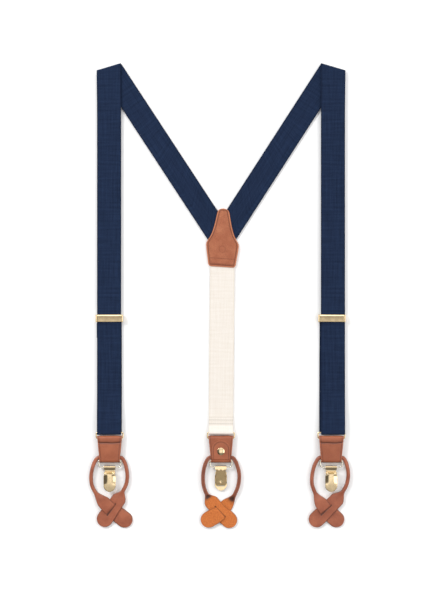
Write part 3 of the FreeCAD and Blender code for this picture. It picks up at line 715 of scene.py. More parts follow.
def plated(name, tint, rough, scratch=0.08):
    """Metal whose roughness wanders with long fine scratches."""
    fin = Finish(name, Metallic=1.0)
    stretched = fin.node("ShaderNodeMapping", {}, Vector=fin.object_place(), Scale=(300.0, 2600.0, 900.0))
    mark = fin.noise(1.0, 4.0, at=stretched)
    cloud = fin.noise(220.0, 2.0)
    deep = tuple(c * 0.82 for c in tint[:3]) + (1.0,)
    fin.feed(Base_Color=fin.blend(cloud.band(0.3, 0.7), tint, deep), Roughness=(mark * scratch + rough))
    fin.bump(mark, 0.12, 0.00003)
    return fin.material


def knurled(name, tint):
    """Crossed fine ridges: two sines at right angles to each other, on the slant."""
    fin = Finish(name, Metallic=1.0)
    x, y = fin.split(fin.object_place())[:2]
    pitch = 2 * math.pi / 0.0011
    ridge = ((x + y) * pitch).math("SINE") * ((x - y) * pitch).math("SINE")
    cloud = fin.noise(500.0, 2.0)
    deep = tuple(c * 0.45 for c in tint[:3]) + (1.0,)
    hook = fin.mark("hook")
    tone = fin.blend(hook, fin.blend(ridge.band(-0.6, 0.8), deep, tint), (0.90, 0.70, 0.42, 1.0))
    fin.feed(Base_Color=tone, Roughness=(cloud * 0.15 + 0.26 - hook * 0.16))
    fin.bump(ridge * (1 - hook), 0.6, 0.00016)
    return fin.material


def thread_finish(name, base, dark):
    """Twisted thread: a fine noise stretched out stands for the twist."""
    fin = Finish(name, Specular_IOR_Level=0.3)
    twist = fin.noise(3800.0, 2.0)
    fin.feed(Base_Color=fin.blend(twist.band(0.35, 0.65), dark, base), Roughness=(twist * 0.15 + 0.55))
    fin.bump(twist, 0.4, 0.00006)
    return fin.material


GOLD = plated("gold_plate", (0.90, 0.70, 0.42, 1.0), 0.10)
SATIN_GOLD = plated("satin_gold", (0.86, 0.62, 0.30, 1.0), 0.24, 0.2)
PALE_WIRE = plated("pale_wire", (0.90, 0.84, 0.70, 1.0), 0.12)
KNURLED = knurled("knurled_gold", (0.40, 0.29, 0.15, 1.0))
TAN_THREAD = thread_finish("tan_thread", colour(176, 108, 78), colour(120, 66, 44))
BROWN_THREAD = thread_finish("brown_thread", colour(150, 86, 62), colour(98, 52, 36))
CREAM_THREAD = thread_finish("cream_thread", colour(246, 240, 228), colour(222, 212, 196))
NAVY_THREAD = thread_finish("navy_thread", colour(40, 54, 84), colour(20, 30, 54))
PAD = thread_finish("clip_pad", colour(226, 224, 214), colour(204, 200, 190))
print("finishes", len(bpy.data.materials))


def floor():
    """A white table whose sheen hardly varies."""
    fin = Finish("table", Roughness=0.9, Specular_IOR_Level=0.1)
    dust = fin.noise(6.0, 2.0)
    fin.feed(Base_Color=fin.blend(dust, (0.98, 0.98, 0.98, 1.0), (1.0, 1.0, 1.0, 1.0)))
    half = 3.0
    mesh = bpy.data.meshes.new("table")
    corners = [(-half, -half, 0), (half, -half, 0), (half, half, 0), (-half, half, 0)]
    mesh.from_pydata(corners, [], [(0, 1, 2, 3)])
    table = bpy.data.objects.new("table", mesh)
    table.location.z = -0.0003
    bpy.context.collection.objects.link(table)
    mesh.materials.append(fin.material)


floor()


def dress(piece, material, body, slot, *nodes):
    """Gives a piece its material and the body it moves with, and hides the nodes it stands for. The slot is
    not used.
    """
    piece.data.materials.append(material)
    if body:
        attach(piece, body)
    if nodes:
        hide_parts(*nodes)
    return piece


def stitch(name, place, xy, height, thread, body, slot, **settings):
    """A seam over local points, dressed in its thread."""
    return dress(seam_on(name, place, xy, height, **settings), thread, body, slot)


# %% [markdown]
# ## The navy straps
#
# Each side is one length of webbing, folded over at the shoulder. A flat strip folded on a slanted
# line keeps its lengths: a point's distance from the fold line becomes its distance round the
# fold, and its place along the line stays. That map takes the flat strap to the folded one.

# %% the straps
BACK_HINGE = np.array(JOINTS["tab_back_swing"]["pos_m"])
ORIGIN = BACK_HINGE[:2] - np.array([0.0, BAR_Y * MM])
WEB_HALF = 12.7
WEB_THICK = 1.15
WEB_TURN = 1.75
FOLD_RADIUS = 1.1
LAYER_MIDDLE = 2.7
BACK_LENGTH = 218.0
CREASE = {"left": 241.0, "right": 256.0}
YOKE_X = 1.75


def fold_facts(side):
    joint = JOINTS[f"fold_{side}"]
    hinge = np.array(joint["pos_m"])
    line = -np.array(joint["axis"])
    outward = np.array([-line[1], line[0], 0.0])
    sign = 1.0 if side == "left" else -1.0
    return hinge, line, outward, sign, math.asin(abs(line[1]))


def front_height(y):
    """The front length's middle: flat, then rising to the tab ring's bar."""
    ramp = ease((-100.0 - y) / 39.0)
    ripple = 0.10 * np.sin(y / 23.0) + 0.06 * np.sin(y / 9.0 + 1.0)
    return 3.85 + ramp * 2.6 + np.maximum(ripple, -0.05) * (1 - ramp)


def strap_surface(side):
    """The middle surface of a whole strap: s runs from the yoke (negative) over the fold to the ring.

    d = s cos a + w sin a is the distance past the fold line, e = w cos a - s sin a the place along
    it. Within a quarter turn either way the strap goes round; beyond it lies flat. Near the yoke
    every thread of it is cut where it meets the patch's middle, so s is scaled thread by thread.
    """
    hinge, line, outward, sign, slant = fold_facts(side)
    origin, axes = end_frame(side)
    place = placer(side)
    quarter = math.pi / 2 * FOLD_RADIUS
    top_y = ((hinge - origin) @ axes.T / MM + RING_BAR)[1] + quarter / math.cos(slant)
    straight = top_y + 139.5
    turn = WEB_TURN
    end_s = straight + 4.8 + math.pi * turn
    meet = np.array([ORIGIN[0] + YOKE_X * MM - sign * 0.0001, ORIGIN[1] + 56.5 * MM])
    way = np.array([math.sin(2 * slant) * sign, -math.cos(2 * slant)])
    start = hinge[:2] - way * quarter * MM
    reach = (meet[0] - start[0]) / way[0] / MM
    cot = 1 / math.tan(2 * slant)
    low_cut = (start[1] - ORIGIN[1] - 45.0 * MM) / -way[1] / MM

    def middle(s, w):
        cut = np.minimum(reach - sign * w * cot, low_cut + sign * w / cot)
        back = np.where(s < -60.0, -60.0 + (s + 60.0) * (cut - 60.0) / (BACK_LENGTH - 60.0), s)
        d = back * math.cos(slant) + w * math.sin(slant) * sign
        e = w * math.cos(slant) - back * math.sin(slant) * sign
        angle = np.clip(d / FOLD_RADIUS, -math.pi / 2, math.pi / 2)
        flat = np.abs(d) - quarter
        away = np.where(flat > 0, -flat, FOLD_RADIUS * np.cos(angle))
        point = hinge + (outward * away[..., None] + line * e[..., None]) * MM
        point[..., 0] += 0.5 * sign * MM * ease(s / 60.0)
        point[..., 2] = (LAYER_MIDDLE + FOLD_RADIUS * np.sin(angle)) * MM
        local = (point - origin) @ axes.T / MM + RING_BAR
        x, y = local[..., 0], local[..., 1]
        mix = ease((s - 30.0) / 20.0)
        z = local[..., 2] * (1 - mix) + front_height(y) * mix
        past = s - (straight + 4.8)
        turned = np.clip(past / turn, 0, math.pi) + math.pi / 2
        y = np.where(past > 0, BAR_Y + turn * np.cos(turned) + np.maximum(past - math.pi * turn, 0), y)
        z = np.where(past > 0, BAR_Z + turn * np.sin(turned), z)
        return place(np.stack([x, y, z], axis=-1))

    stations = np.unique(np.concatenate([
        np.linspace(-BACK_LENGTH, -12, 80), np.linspace(-12, 12, 120), np.linspace(12, straight - 6, 110),
        np.linspace(CREASE[side] - 2, CREASE[side] + 2, 15), np.linspace(straight - 6, end_s, 50),
    ]))
    return middle, stations


def strap(side):
    middle, stations = strap_surface(side)
    crease = {"crease": lambda s, w, half: bell(s - CREASE[side], 0.6) * (np.abs(w) < 10.5)}
    piece = strip(f"strap_{side}", middle, stations, WEB_HALF, WEB_THICK, smooth=60.0, marks=crease)
    dress(piece, NAVY, None, "navy_webbing", f"strap_{side}_front", f"strap_{side}_back")
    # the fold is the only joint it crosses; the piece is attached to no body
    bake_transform(piece)
    return piece


for side in FRONTS:
    print(side, "strap", len(strap(side).data.vertices), "points")

# %% [markdown]
# ## Behind each front strap
#
# The webbing turns round the tab ring and runs back up to the adjuster, where its end is sewn round a bar.
# As the adjuster slides down, this length gets shorter.


def strap_return(side):
    place = placer(side)
    route, distance = joined(
        lines((-24.9, 0.7), (-100.0, 0.7), step=4.0),
        lines((-100.0, 0.7), (-139.0, 2.95), step=3.0),
        lines((-139.0, 2.95), (-144.2, 2.95)),
    )
    middle = follow(place, route, distance)
    piece = strip(f"return_{side}", middle, distance, WEB_HALF, WEB_THICK, smooth=60.0)
    dress(piece, NAVY, f"front_{side}", "navy_webbing", f"strap_{side}_return")
    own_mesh(piece)


def strap_hem(side):
    place = placer(side)
    route, distance = joined(
        arc((-24.85, 1.6), 0.92, -90, 90, 12), lines((-24.85, 2.52), (-44.5, 2.52), step=2.0)
    )
    shift = 1.1 if side == "right" else -0.9

    def moved(points):
        """The tail below the adjuster lies a little to one side."""
        points = np.asarray(points)
        return place(points + np.array([shift, 0.0, 0.0]) * (points[..., 1:2] < -28))

    middle = follow(moved, route, distance)
    piece = strip(f"hem_{side}", middle, distance, WEB_HALF, 1.1, ends=0.6, smooth=60.0)
    dress(piece, NAVY, f"slider_{side}", "navy_webbing", f"strap_{side}_hem")
    for row, y in enumerate((-40.5, -37.5)):
        xy = np.column_stack([np.linspace(-11.5, 11.5, 12), np.full(12, y)])
        stitch(f"hem_seam_{side}_{row}", place, xy, 3.05, NAVY_THREAD, f"slider_{side}", "navy_webbing")


for side in FRONTS:
    strap_return(side)
    strap_hem(side)

# %% [markdown]
# ## The cream back strap
#
# One length again: flat under the yoke, down to the back ring, round its bar and turned back on
# top of itself, where two rows of stitches hold it.

# %% the back strap
CREAM_HALF = 13.0


def leaned(degrees, about, shift=0.0, skew=0.0):
    """A function that carries points in mm, turned in the plane about a point, to metres.

    A skew first lowers each point by its share of x.
    """
    c, s = math.cos(math.radians(degrees)), math.sin(math.radians(degrees))

    def place(points):
        p = np.asarray(points, dtype=float) - np.array([*about, 0.0])
        p = p - p[..., :1] * np.array([0.0, skew, 0.0])
        x = p[..., 0] * c - p[..., 1] * s + about[0] + shift
        y = p[..., 0] * s + p[..., 1] * c + about[1]
        return np.stack([x * MM + ORIGIN[0], y * MM + ORIGIN[1], p[..., 2] * MM], axis=-1)

    return place


def back_strap():
    place = leaned(-0.5, (0.0, BAR_Y))
    bar_z = BACK_HINGE[2] / MM
    route, distance = joined(
        lines((44.0, 1.6), (-137.5, 1.6), step=3.0),
        lines((-137.5, 1.6), (-142.5, bar_z - WEB_TURN)),
        lines((-142.5, bar_z - WEB_TURN), (BAR_Y, bar_z - WEB_TURN), step=0.4),
        arc((BAR_Y, bar_z), WEB_TURN, 270, 90, 24),
        lines((BAR_Y, bar_z + WEB_TURN), (-137.2, 2.85)),
        lines((-137.2, 2.85), (-128.0, 2.85)),
    )
    ripple = lambda y, w, s: 0.05 * np.sin(y / 17.0) * (y > -120)
    turned = distance[np.argmin(route[:, 0])]

    def rows(s, w, half):
        """Painted shade along the two stitched rows and at the cut end of the part that is turned back."""
        y = np.interp(s, distance, route[:, 0])
        line = sum(bell(y - row, 0.4) for row in (-131.2, -135.0)) + (y > -128.5)
        return 0.8 * np.clip(line, 0, 1) * (s > turned)

    piece = strip("back_webbing", follow(place, route, distance, ripple), distance, CREAM_HALF, WEB_THICK,
                  smooth=60.0, marks={"shade": rows})
    dress(piece, CREAM, "root", "cream_webbing", "back_strap")
    for row, y in enumerate((-131.6, -134.6)):
        xy = np.column_stack([np.linspace(-12.0, 12.0, 12), np.full(12, y)])
        fine = {"pitch": 2.0, "length": 1.6, "radius": 0.2}
        stitch(f"back_seam_{row}", place, xy, 3.42, CREAM_THREAD, "root", "cream_webbing", **fine)


back_strap()
print("back strap", 2 * CREAM_HALF, "mm wide")

# %% [markdown]
# ## The yoke patch
#
# Two leather panels are sewn through the three straps between them. The half width is a function
# of the height up the patch, with round corners and tip, and the top panel dips where there is
# no webbing under it. A plain pressed ring stands where a maker would put a mark.

# %% the yoke
YOKE_FOOT, YOKE_TIP = 30.4, 92.2
FORK_Y = 56.5
STAMP_Y, STAMP_RADIUS = 49.0, 3.4
YOKE_SHAPE = [
    (YOKE_FOOT, 11.6), (30.75, 12.9), (31.6, 13.9), (33.2, 14.55), (40.0, 15.6), (48.0, 16.85),
    (52.9, 17.35), (55.2, 17.1), (57.4, 16.0), (60.4, 14.1), (63.6, 12.4), (68.0, 10.8),
    (74.0, 9.1), (80.0, 7.9), (86.6, 6.6), (88.8, 6.0), (90.4, 5.0), (91.4, 3.6), (92.0, 1.8),
    (YOKE_TIP, 0.4),
]


def yoke_half(y, inset=0.0):
    """The half width at a height, smoothed between the drawn points; the inset follows the edge."""
    heights, halves = np.array(YOKE_SHAPE).T
    middle = 60.0
    shrink = 1 - inset / 31.0
    return np.maximum(np.interp(middle + (y - middle) / shrink, heights, halves) - inset, 0.05)


def pressed_ring(x, y):
    """1 along the plain ring pressed into the patch, and 0 away from it."""
    return bell(np.hypot(x, y - STAMP_Y) - STAMP_RADIUS, 0.5)


def yoke():
    place = leaned(-1.7, (0.0, 56.0), shift=YOKE_X, skew=0.04)
    fine = np.unique(np.concatenate([
        np.linspace(YOKE_FOOT, 42, 46), np.linspace(42, 56, 50), np.linspace(56, 86, 40),
        np.linspace(86, 91.4, 24), np.linspace(91.4, YOKE_TIP, 12),
    ]))

    def dip(x, y):
        """Lower between the straps: outside the fork's two legs and beside the back strap."""
        leg = np.abs(np.abs(x) - (y - FORK_Y) * 0.64) - 12.0
        stem = np.abs(x) - 12.6
        out = np.where(y > 56, leg, np.minimum(stem, leg))
        edge = ease(out / 3.0) * 0.35
        return -edge - 0.22 * pressed_ring(x, y)

    top = flat_sheet(place, lambda x, y: 2.72 + dip(x, y))

    def inset(s, w, half):
        """How far in from the outline: from the sides, squared up by their slope, and from both ends."""
        return np.minimum(np.minimum((half - np.abs(w)) * 0.95, s - YOKE_FOOT), YOKE_TIP - s) * (s > 0)

    def rows(s, w, half):
        """Painted shade along two rows of stitches across the foot of the patch, and in the pressed ring.
        """
        line = bell(s - 39.3, 0.45) + bell(s - 33.6, 0.45)
        return 0.8 * line * (np.abs(w) < 12.6) + 0.5 * pressed_ring(w, s)

    panel = strip("yoke_top", top, fine, yoke_half(fine), 1.0, ends=0.5, smooth=50.0,
                  marks={"inset": inset, "shade": rows}, columns=61)
    dress(panel, YOKE_LEATHER, "root", "tan_leather", "yoke_top_panel")
    bottom = flat_sheet(place, lambda x, y: 0.5 + 0 * x)
    under = strip("yoke_bottom", bottom, fine, yoke_half(fine), 1.0, ends=0.4, smooth=50.0)
    dress(under, YOKE_LEATHER, "root", "tan_leather", "yoke_bottom_panel")
    y = np.linspace(31.9, 90.3, 120)
    half = yoke_half(y, 1.8)
    right = np.column_stack([half, y])
    left = np.column_stack([-half, y])[::-1]
    height = lambda xy: 3.2 + dip(xy[:, 0], xy[:, 1]) + 0.03
    finish = (TAN_THREAD, "root", "tan_leather")
    edge = {"pitch": 2.1, "length": 1.5}
    for name, xy in (("yoke_seam_right", right), ("yoke_seam_left", left)):
        stitch(name, place, xy, height(xy), *finish, radius=0.2, **edge)
        stitch(name + "_under", place, xy, -0.02, *finish, up=-1.0, radius=0.1, **edge)
    for row, level in enumerate((39.1, 33.5)):
        xy = np.column_stack([np.linspace(-11.5, 11.5, 16), np.full(16, level)])
        stitch(f"yoke_row_{row}", place, xy, height(xy), *finish, pitch=1.9, length=1.4, radius=0.2)


yoke()
print("yoke patch", YOKE_TIP - YOKE_FOOT, "mm tall")

# %% [markdown]
# ## The adjusters
#
# The cover is one plate rolled round its pin at the top. Its outline from the side is carried
# across the strap and bevelled at the ends. The frame and the pin keep their shapes.

# %% adjusters
SLIDER_PIN = (-21.0, 5.9)
COVER_HALF = 12.85


def slider(side):
    place = placer(side)
    outline = np.vstack([
        arc(SLIDER_PIN, 1.3, -90, 45, 12),
        [(-21.3, 7.3), (-26.9, 6.2)],
        arc((-27.2, 5.83), 0.34, 101, 250, 12),
        [(-26.9, 5.5), (-22.3, 6.1), (-22.0, 5.3)],
    ])
    piece = profile_bar(f"slider_cover_{side}", place, outline, COVER_HALF, 0.25, 20.0)
    dress(piece, GOLD, f"slider_{side}_cover", "gold_metal", f"slider_{side}_lever")


for side in FRONTS:
    slider(side)
print("covers", 2 * COVER_HALF, "mm wide")

# %% [markdown]
# ## The tabs
#
# One strip of leather goes from the rear, over the ring's lower bar, down the front and round the
# bottom. Its side view is the route, its half width tapers down the tab, and a pressed crease
# below the ring is a dip added to the route. The flap is a flat piece with a round top.

# %% tab leather, flap and snap
RINGS = {"outer_x": 14.8, "wire": 0.75}
TAB_TOP, TAB_FOOT = -148.0, -176.4
FLAP_HALF, ARCH_Y = 9.75, -162.2
LEATHER_STITCH = {"length": 1.4, "radius": 0.17}


def tab_half(y):
    return 13.05 + (y - TAB_TOP) / (TAB_FOOT - TAB_TOP) * (10.45 - 13.05)


def tab_leather(side):
    place = placer(side)
    route, distance = joined(
        lines((-168.0, 2.5), (-150.35, 2.5), step=0.8),
        arc((-150.35, 4.7), 2.2, -90, 90, 18),
        lines((-150.35, 6.9), (-172.9, 6.9), step=0.35),
        arc((-172.9, 4.15), 2.75, 90, 270, 24),
    )

    def lift(y, w, s):
        """The crease under the ring and a soft swell down the middle, on the front layer only."""
        front = ease((s - 23.0) / 2.0)
        crease = -0.55 * bell(y + 154.9 + 0.25 * np.cos(w / 6.0), 0.9)
        swell = 0.12 * bell(y + 164.0, 7.0) * (1 - (w / 13.0) ** 2)
        return front * (crease + swell) * (y < -150.5)

    def across_shade(s, w, half):
        """Painted shade in the crease under the ring, in the band between the roll and that crease, and
        where the leather turns under at the foot.
        """
        y = np.interp(s, distance, route[:, 0])
        front = (s > 22.0) & (s < foot)
        wave = 0.25 * np.cos(w / 6.0) + 0.2 * np.sin(w / 2.1)
        pinch = 1.6 * bell(y + 154.9 + wave, 0.8) * (np.abs(w) < half - 1.2)
        turn = bell(y + 175.7, 0.8) * 0.8
        under = 0.3 * ease((y + 155.0) / 0.6) * ease((-151.9 - y) / 0.8)
        return (pinch + turn + under) * front

    foot = distance[np.argmin(route[:, 0])] + 2.0

    def roll_highlight(s, w, half):
        """A painted highlight where the leather rolls over the ring."""
        return bell(s - roll_s, 1.1) * 0.9

    roll_s = distance[np.argmax(route[:, 0])] + 1.6
    sides = {"inset": lambda s, w, half: half - np.abs(w), "shade": across_shade, "highlight": roll_highlight}
    middle = follow(place, route, distance, lift)
    half = tab_half(route[:, 0])
    piece = strip(f"tab_{side}", middle, distance, half, 1.0, ends=0.3, smooth=45.0, marks=sides)
    dress(piece, TAB_LEATHER, f"tab_{side}", "tab_leather", f"tab_{side}_leather")
    finish = (BROWN_THREAD, f"tab_{side}", "tab_leather")
    rows = np.linspace(-157.5, -172.5, 40)
    for name, sign in (("right", 1), ("left", -1)):
        xy = np.column_stack([sign * (tab_half(rows) - 1.5), rows])
        stitch(f"tab_seam_{side}_{name}", place, xy, 7.42, *finish, pitch=1.9, **LEATHER_STITCH)
    xy = np.column_stack([np.linspace(-11.2, 11.2, 14), np.full(14, -156.6)])
    stitch(f"tab_row_{side}", place, xy, 7.4, *finish, pitch=1.8, length=1.3, radius=0.17)


def flap(side):
    place = placer(side)
    arch = ARCH_Y + FLAP_HALF * np.sin(np.linspace(0, np.pi / 2, 40))
    y = np.unique(np.concatenate([np.linspace(-172.8, ARCH_Y, 24), arch]))
    round_part = np.sqrt(np.clip(FLAP_HALF**2 - (y - ARCH_Y) ** 2, 0.01, None))
    width = np.where(y > ARCH_Y, round_part, FLAP_HALF)
    middle = flat_sheet(place, lambda x, yy: 1.4 - 0.10 * ease((yy + 158.0) / 5.0))
    edge = {"inset": lambda s, w, half: FLAP_HALF - np.hypot(w, np.maximum(s - ARCH_Y, 0))}
    piece = strip(f"flap_{side}", middle, y, width, 1.0, ends=0.3, smooth=50.0, marks=edge)
    dress(piece, TAB_LEATHER, f"flap_{side}", "tab_leather", f"tab_{side}_flap")
    turn = np.linspace(0, np.pi, 60)
    inner = FLAP_HALF - 1.7
    rim = np.column_stack([inner * np.cos(turn), ARCH_Y + inner * np.sin(turn)])
    xy = np.vstack([[(inner, -171.0)], rim, [(-inner, -171.0)]])
    finish = (BROWN_THREAD, f"flap_{side}", "tab_leather")
    stitch(f"flap_seam_{side}", place, xy, 0.84, *finish, up=-1.0, pitch=1.9, **LEATHER_STITCH)


def snap(side):
    """A low dome with a turned rim and a shallow step round its crown."""
    place = placer(side)
    profile = [
        (0.02, 1.85), (2.35, 1.85), (2.35, 1.0), (2.6, 0.98), (3.6, 0.95), (3.88, 0.78), (3.84, 0.62),
        (3.55, 0.5), (3.15, 0.42), (2.9, 0.34), (2.45, 0.2), (1.75, 0.09), (0.9, 0.03), (0.02, 0.02),
    ]
    piece = spun(f"snap_{side}", place, (0.0, -163.9), profile)
    dress(piece, GOLD, f"flap_{side}", "gold_metal", f"tab_{side}_snap_cap")


def rounded_ring(wide, narrow, top, bottom, r_top, r_bottom, z):
    """A closed wire path: two corners of one radius above and two of another below."""
    spots = np.array([(wide, top), (-wide, top), (-narrow, bottom), (narrow, bottom)], float)
    out = []
    for i, radius in enumerate((r_top, r_top, r_bottom, r_bottom)):
        before = spots[i - 1] - spots[i]
        after = spots[(i + 1) % 4] - spots[i]
        before /= np.linalg.norm(before)
        after /= np.linalg.norm(after)
        half = math.acos(float(before @ after)) / 2
        reach = radius / math.tan(half)
        a, b = spots[i] + before * reach, spots[i] + after * reach
        t = np.linspace(0, 1, 12)[:, None]
        corner = (1 - t) ** 2 * a + 2 * t * (1 - t) * spots[i] + t**2 * b
        out.append(corner)
        following = spots[(i + 1) % 4]
        out.append(b + (following - b) * np.linspace(0.1, 0.8, 10)[:, None])
    path = np.vstack(out)
    return np.column_stack([path, np.full(len(path), z)])


def rings(side):
    place = placer(side)
    half = RINGS["outer_x"] - RINGS["wire"]
    path = rounded_ring(half, half, BAR_Y, -150.35, 1.6, 1.6, BAR_Z)
    piece = tube(f"ring_{side}", place(path), RINGS["wire"] * MM)
    dress(piece, GOLD, f"tab_{side}", "gold_metal", f"tab_{side}_ring")
    path = rounded_ring(12.0, 11.0, -173.9, -180.9, 1.9, 2.6, 4.15)
    piece = tube(f"clip_ring_{side}", place(path), 0.8 * MM)
    dress(piece, PALE_WIRE, f"clip_ring_{side}", "pale_wire", f"clip_{side}_ring")


for side in SIDES:
    tab_leather(side)
    flap(side)
    snap(side)
    rings(side)
print("tabs", TAB_TOP - TAB_FOOT, "mm long")

# %% [markdown]
# ## The clips
#
# Plate metal again: the frame is one strip that starts as the knurled back plate and curls over
# the ring as a hood ending in two small points. The front lever is a bulged plate with a rounded
# foot, narrow at its shoulders.

# %% clips
CLIP_BASE = (0.0, -180.9, 4.15)
CLIP_PIN = (-6.0, 1.9)


def clip_frame(side):
    place = placer(side, CLIP_BASE)
    route, distance = joined(
        lines((-19.2 if side == "back" else -20.5, -1.35), (0.0, -1.35), step=0.25),
        arc((0.0, 0.0), 1.35, -90, 90, 24),
        lines((0.0, 1.35), (-3.3, 0.4), step=0.25),
    )
    plate_end = -route[0, 0]
    tooth = np.abs(((route[:, 0] + 0.3) / 1.5) % 1.0 - 0.5) * 0.9
    half = np.where((distance < plate_end - 8.5) & (distance > 0.9), 5.35 - tooth, 5.3)
    half = np.where(distance < 1.0, 4.2 + 1.1 * np.sqrt(np.clip(distance, 0, 1)), half)
    half = half + 0.7 * ease((distance - plate_end + 3.0) / 3.0)
    half = half - 0.9 * ease((distance - distance[-1] + 1.2) / 1.2)

    def hook(s, w, half):
        """The smooth curled end: it reaches down the plate in two points."""
        point = 1.6 * np.clip(1 - np.abs(np.abs(w) - 2.0) / 1.1, 0, 1)
        return np.clip((s - plate_end + 2.4 + point) / 0.3, 0, 1)

    middle = follow(place, route, distance)
    piece = strip(f"clip_plate_{side}", middle, distance, half, 0.7, square=0.6, smooth=35.0,
                  marks={"hook": hook}, columns=25)
    dress(piece, KNURLED if side == "back" else GOLD, f"clip_{side}", "gold_metal", f"clip_{side}_frame")
    for name, sign in (("right", 1), ("left", -1)):
        outline = np.vstack([[(-6.85, -1.2), (-5.15, -1.2)], arc(CLIP_PIN, 0.85, 0, 180, 12)])
        ear_place = placer(side, (sign * 5.62, *CLIP_BASE[1:]))
        ear = profile_bar(f"clip_ear_{side}_{name}", ear_place, outline, 0.32, 0.08)
        dress(ear, GOLD, f"clip_{side}", "gold_metal")
    profile = [
        (0.02, -1.6), (1.3, -1.62), (1.4, -1.74), (1.2, -1.86), (0.95, -1.8), (0.75, -1.72), (0.02, -1.74),
    ]
    rivet = spun(f"clip_rivet_{side}", place, (0.0, -15.2), profile, 28)
    dress(rivet, GOLD, f"clip_{side}", "gold_metal")


def clip_lever(side):
    place = placer(side, CLIP_BASE)
    head, foot = (-6.9, 3.5), (-24.9 if side == "back" else -25.9, 2.1)
    round_part = foot[0] + (1 - np.sin(np.linspace(0, np.pi / 2, 30))) * 4.3
    y = np.unique(np.concatenate([np.linspace(head[0], foot[0] + 4.3, 50), round_part]))[::-1]
    t = (head[0] - y) / (head[0] - foot[0])
    bow = head[1] + (foot[1] - head[1]) * t + 0.25 * np.sin(np.pi * np.clip(t, 0, 1)) ** 0.9
    half = 5.7 + 0.65 * ease((head[0] - y) / 3.0)
    drop = np.clip((foot[0] + 6.3 - y) / 6.32, 0, 0.9995)
    half = half * (1 - drop**2.1) ** 0.62
    route = np.column_stack([y, bow])
    distance = np.r_[0, np.cumsum(np.linalg.norm(np.diff(route, axis=0), axis=1))]

    def roll(yy, w, s):
        """The plate's sides turn down as facets, from soft bend lines off its middle, less at the foot."""
        past = np.abs(w) - 2.6
        beyond = np.sqrt(past**2 + 0.04) + past
        return -0.15 * beyond * ease((-7.2 - yy) / 2.0) * (1 - 0.8 * ease((-14.0 - yy) / 5.0))

    middle = follow(place, route, distance, roll)
    piece = strip(f"clip_cover_{side}", middle, distance, half, 0.75, square=0.6, smooth=35.0)
    dress(piece, GOLD, f"clip_lever_{side}", "gold_metal", f"clip_{side}_lever")
    hub = np.vstack([arc(CLIP_PIN, 1.2, -200, 60, 20), [(-6.2, 3.3), (-7.6, 3.35)]])
    for name, sign in (("right", 1), ("left", -1)):
        hub_place = placer(side, (sign * 4.15, *CLIP_BASE[1:]))
        piece = profile_bar(f"clip_hub_{side}_{name}", hub_place, hub, 0.92, 0.1)
        dress(piece, GOLD, f"clip_lever_{side}", "gold_metal")


for side in SIDES:
    clip_frame(side)
    clip_lever(side)
print("clips at", CLIP_BASE, "of each end")

# %% [markdown]
# ## The button loops
#
# Each loop is one piece of leather. Its ends are flat tongues with buttonholes, and between them
# it is rolled into a cord. So the section changes along the way, from a wide flat one to a round
# one and back. The second tongue goes over the first one's upper edge, down through its slit and
# out beneath it.

# %% button loops
LOOP_BASE = (0.0, -170.2, 4.3)
HEIGHTS = (-75.0, -66.0, -56.0, -37.0, -20.0, 0.0)
SWAY = {
    "left": (6.0, 4.5, 1.7, -1.2, -0.6, 0.0),
    "right": (-4.4, -4.6, -5.0, -2.5, -1.0, 0.0),
    "back": (2.9, 2.3, 0.5, 0.2, -0.3, 0.0),
}
DROP = {"left": 0.0, "right": 0.6, "back": 3.2}
TILT = {"left": 2.0, "right": 2.0, "back": -2.0}
CROSS_Y = -55.6
ARM = [
    (0.0, 0.0), (7.0, 0.0), (12.5, -0.9), (15.4, -4.6), (17.6, -10.5), (19.1, -19.5), (18.3, -28.5),
    (15.2, -35.6), (11.2, -42.2), (5.6, -49.2), (0.0, CROSS_Y), (-5.3, -61.0), (-10.3, -66.0),
    (-16.3, -72.0),
]


def smooth_path(points, step=0.35):
    """A Catmull-Rom curve through points: each span is the usual cubic of its four neighbours."""
    points = np.asarray(points, float)
    padded = np.vstack([2 * points[0] - points[1], points, 2 * points[-1] - points[-2]])
    out = []
    for i in range(1, len(padded) - 2):
        p0, p1, p2, p3 = padded[i - 1 : i + 3]
        count = max(3, int(np.linalg.norm(p2 - p1) / step))
        t = np.linspace(0, 1, count, endpoint=False)[:, None]
        out.append(0.5 * (2 * p1 + (p2 - p0) * t + (2 * p0 - 5 * p1 + 4 * p2 - p3) * t**2
                          + (3 * p1 - p0 - 3 * p2 + p3) * t**3))
    return np.vstack([*out, points[-1:]])


def dropped(side, y):
    """How much lower the loop hangs than its drawn route, towards its crossing."""
    return DROP[side] * ease((-y - 20.0) / 18.0) * ease((y + 68.0) / 14.0)


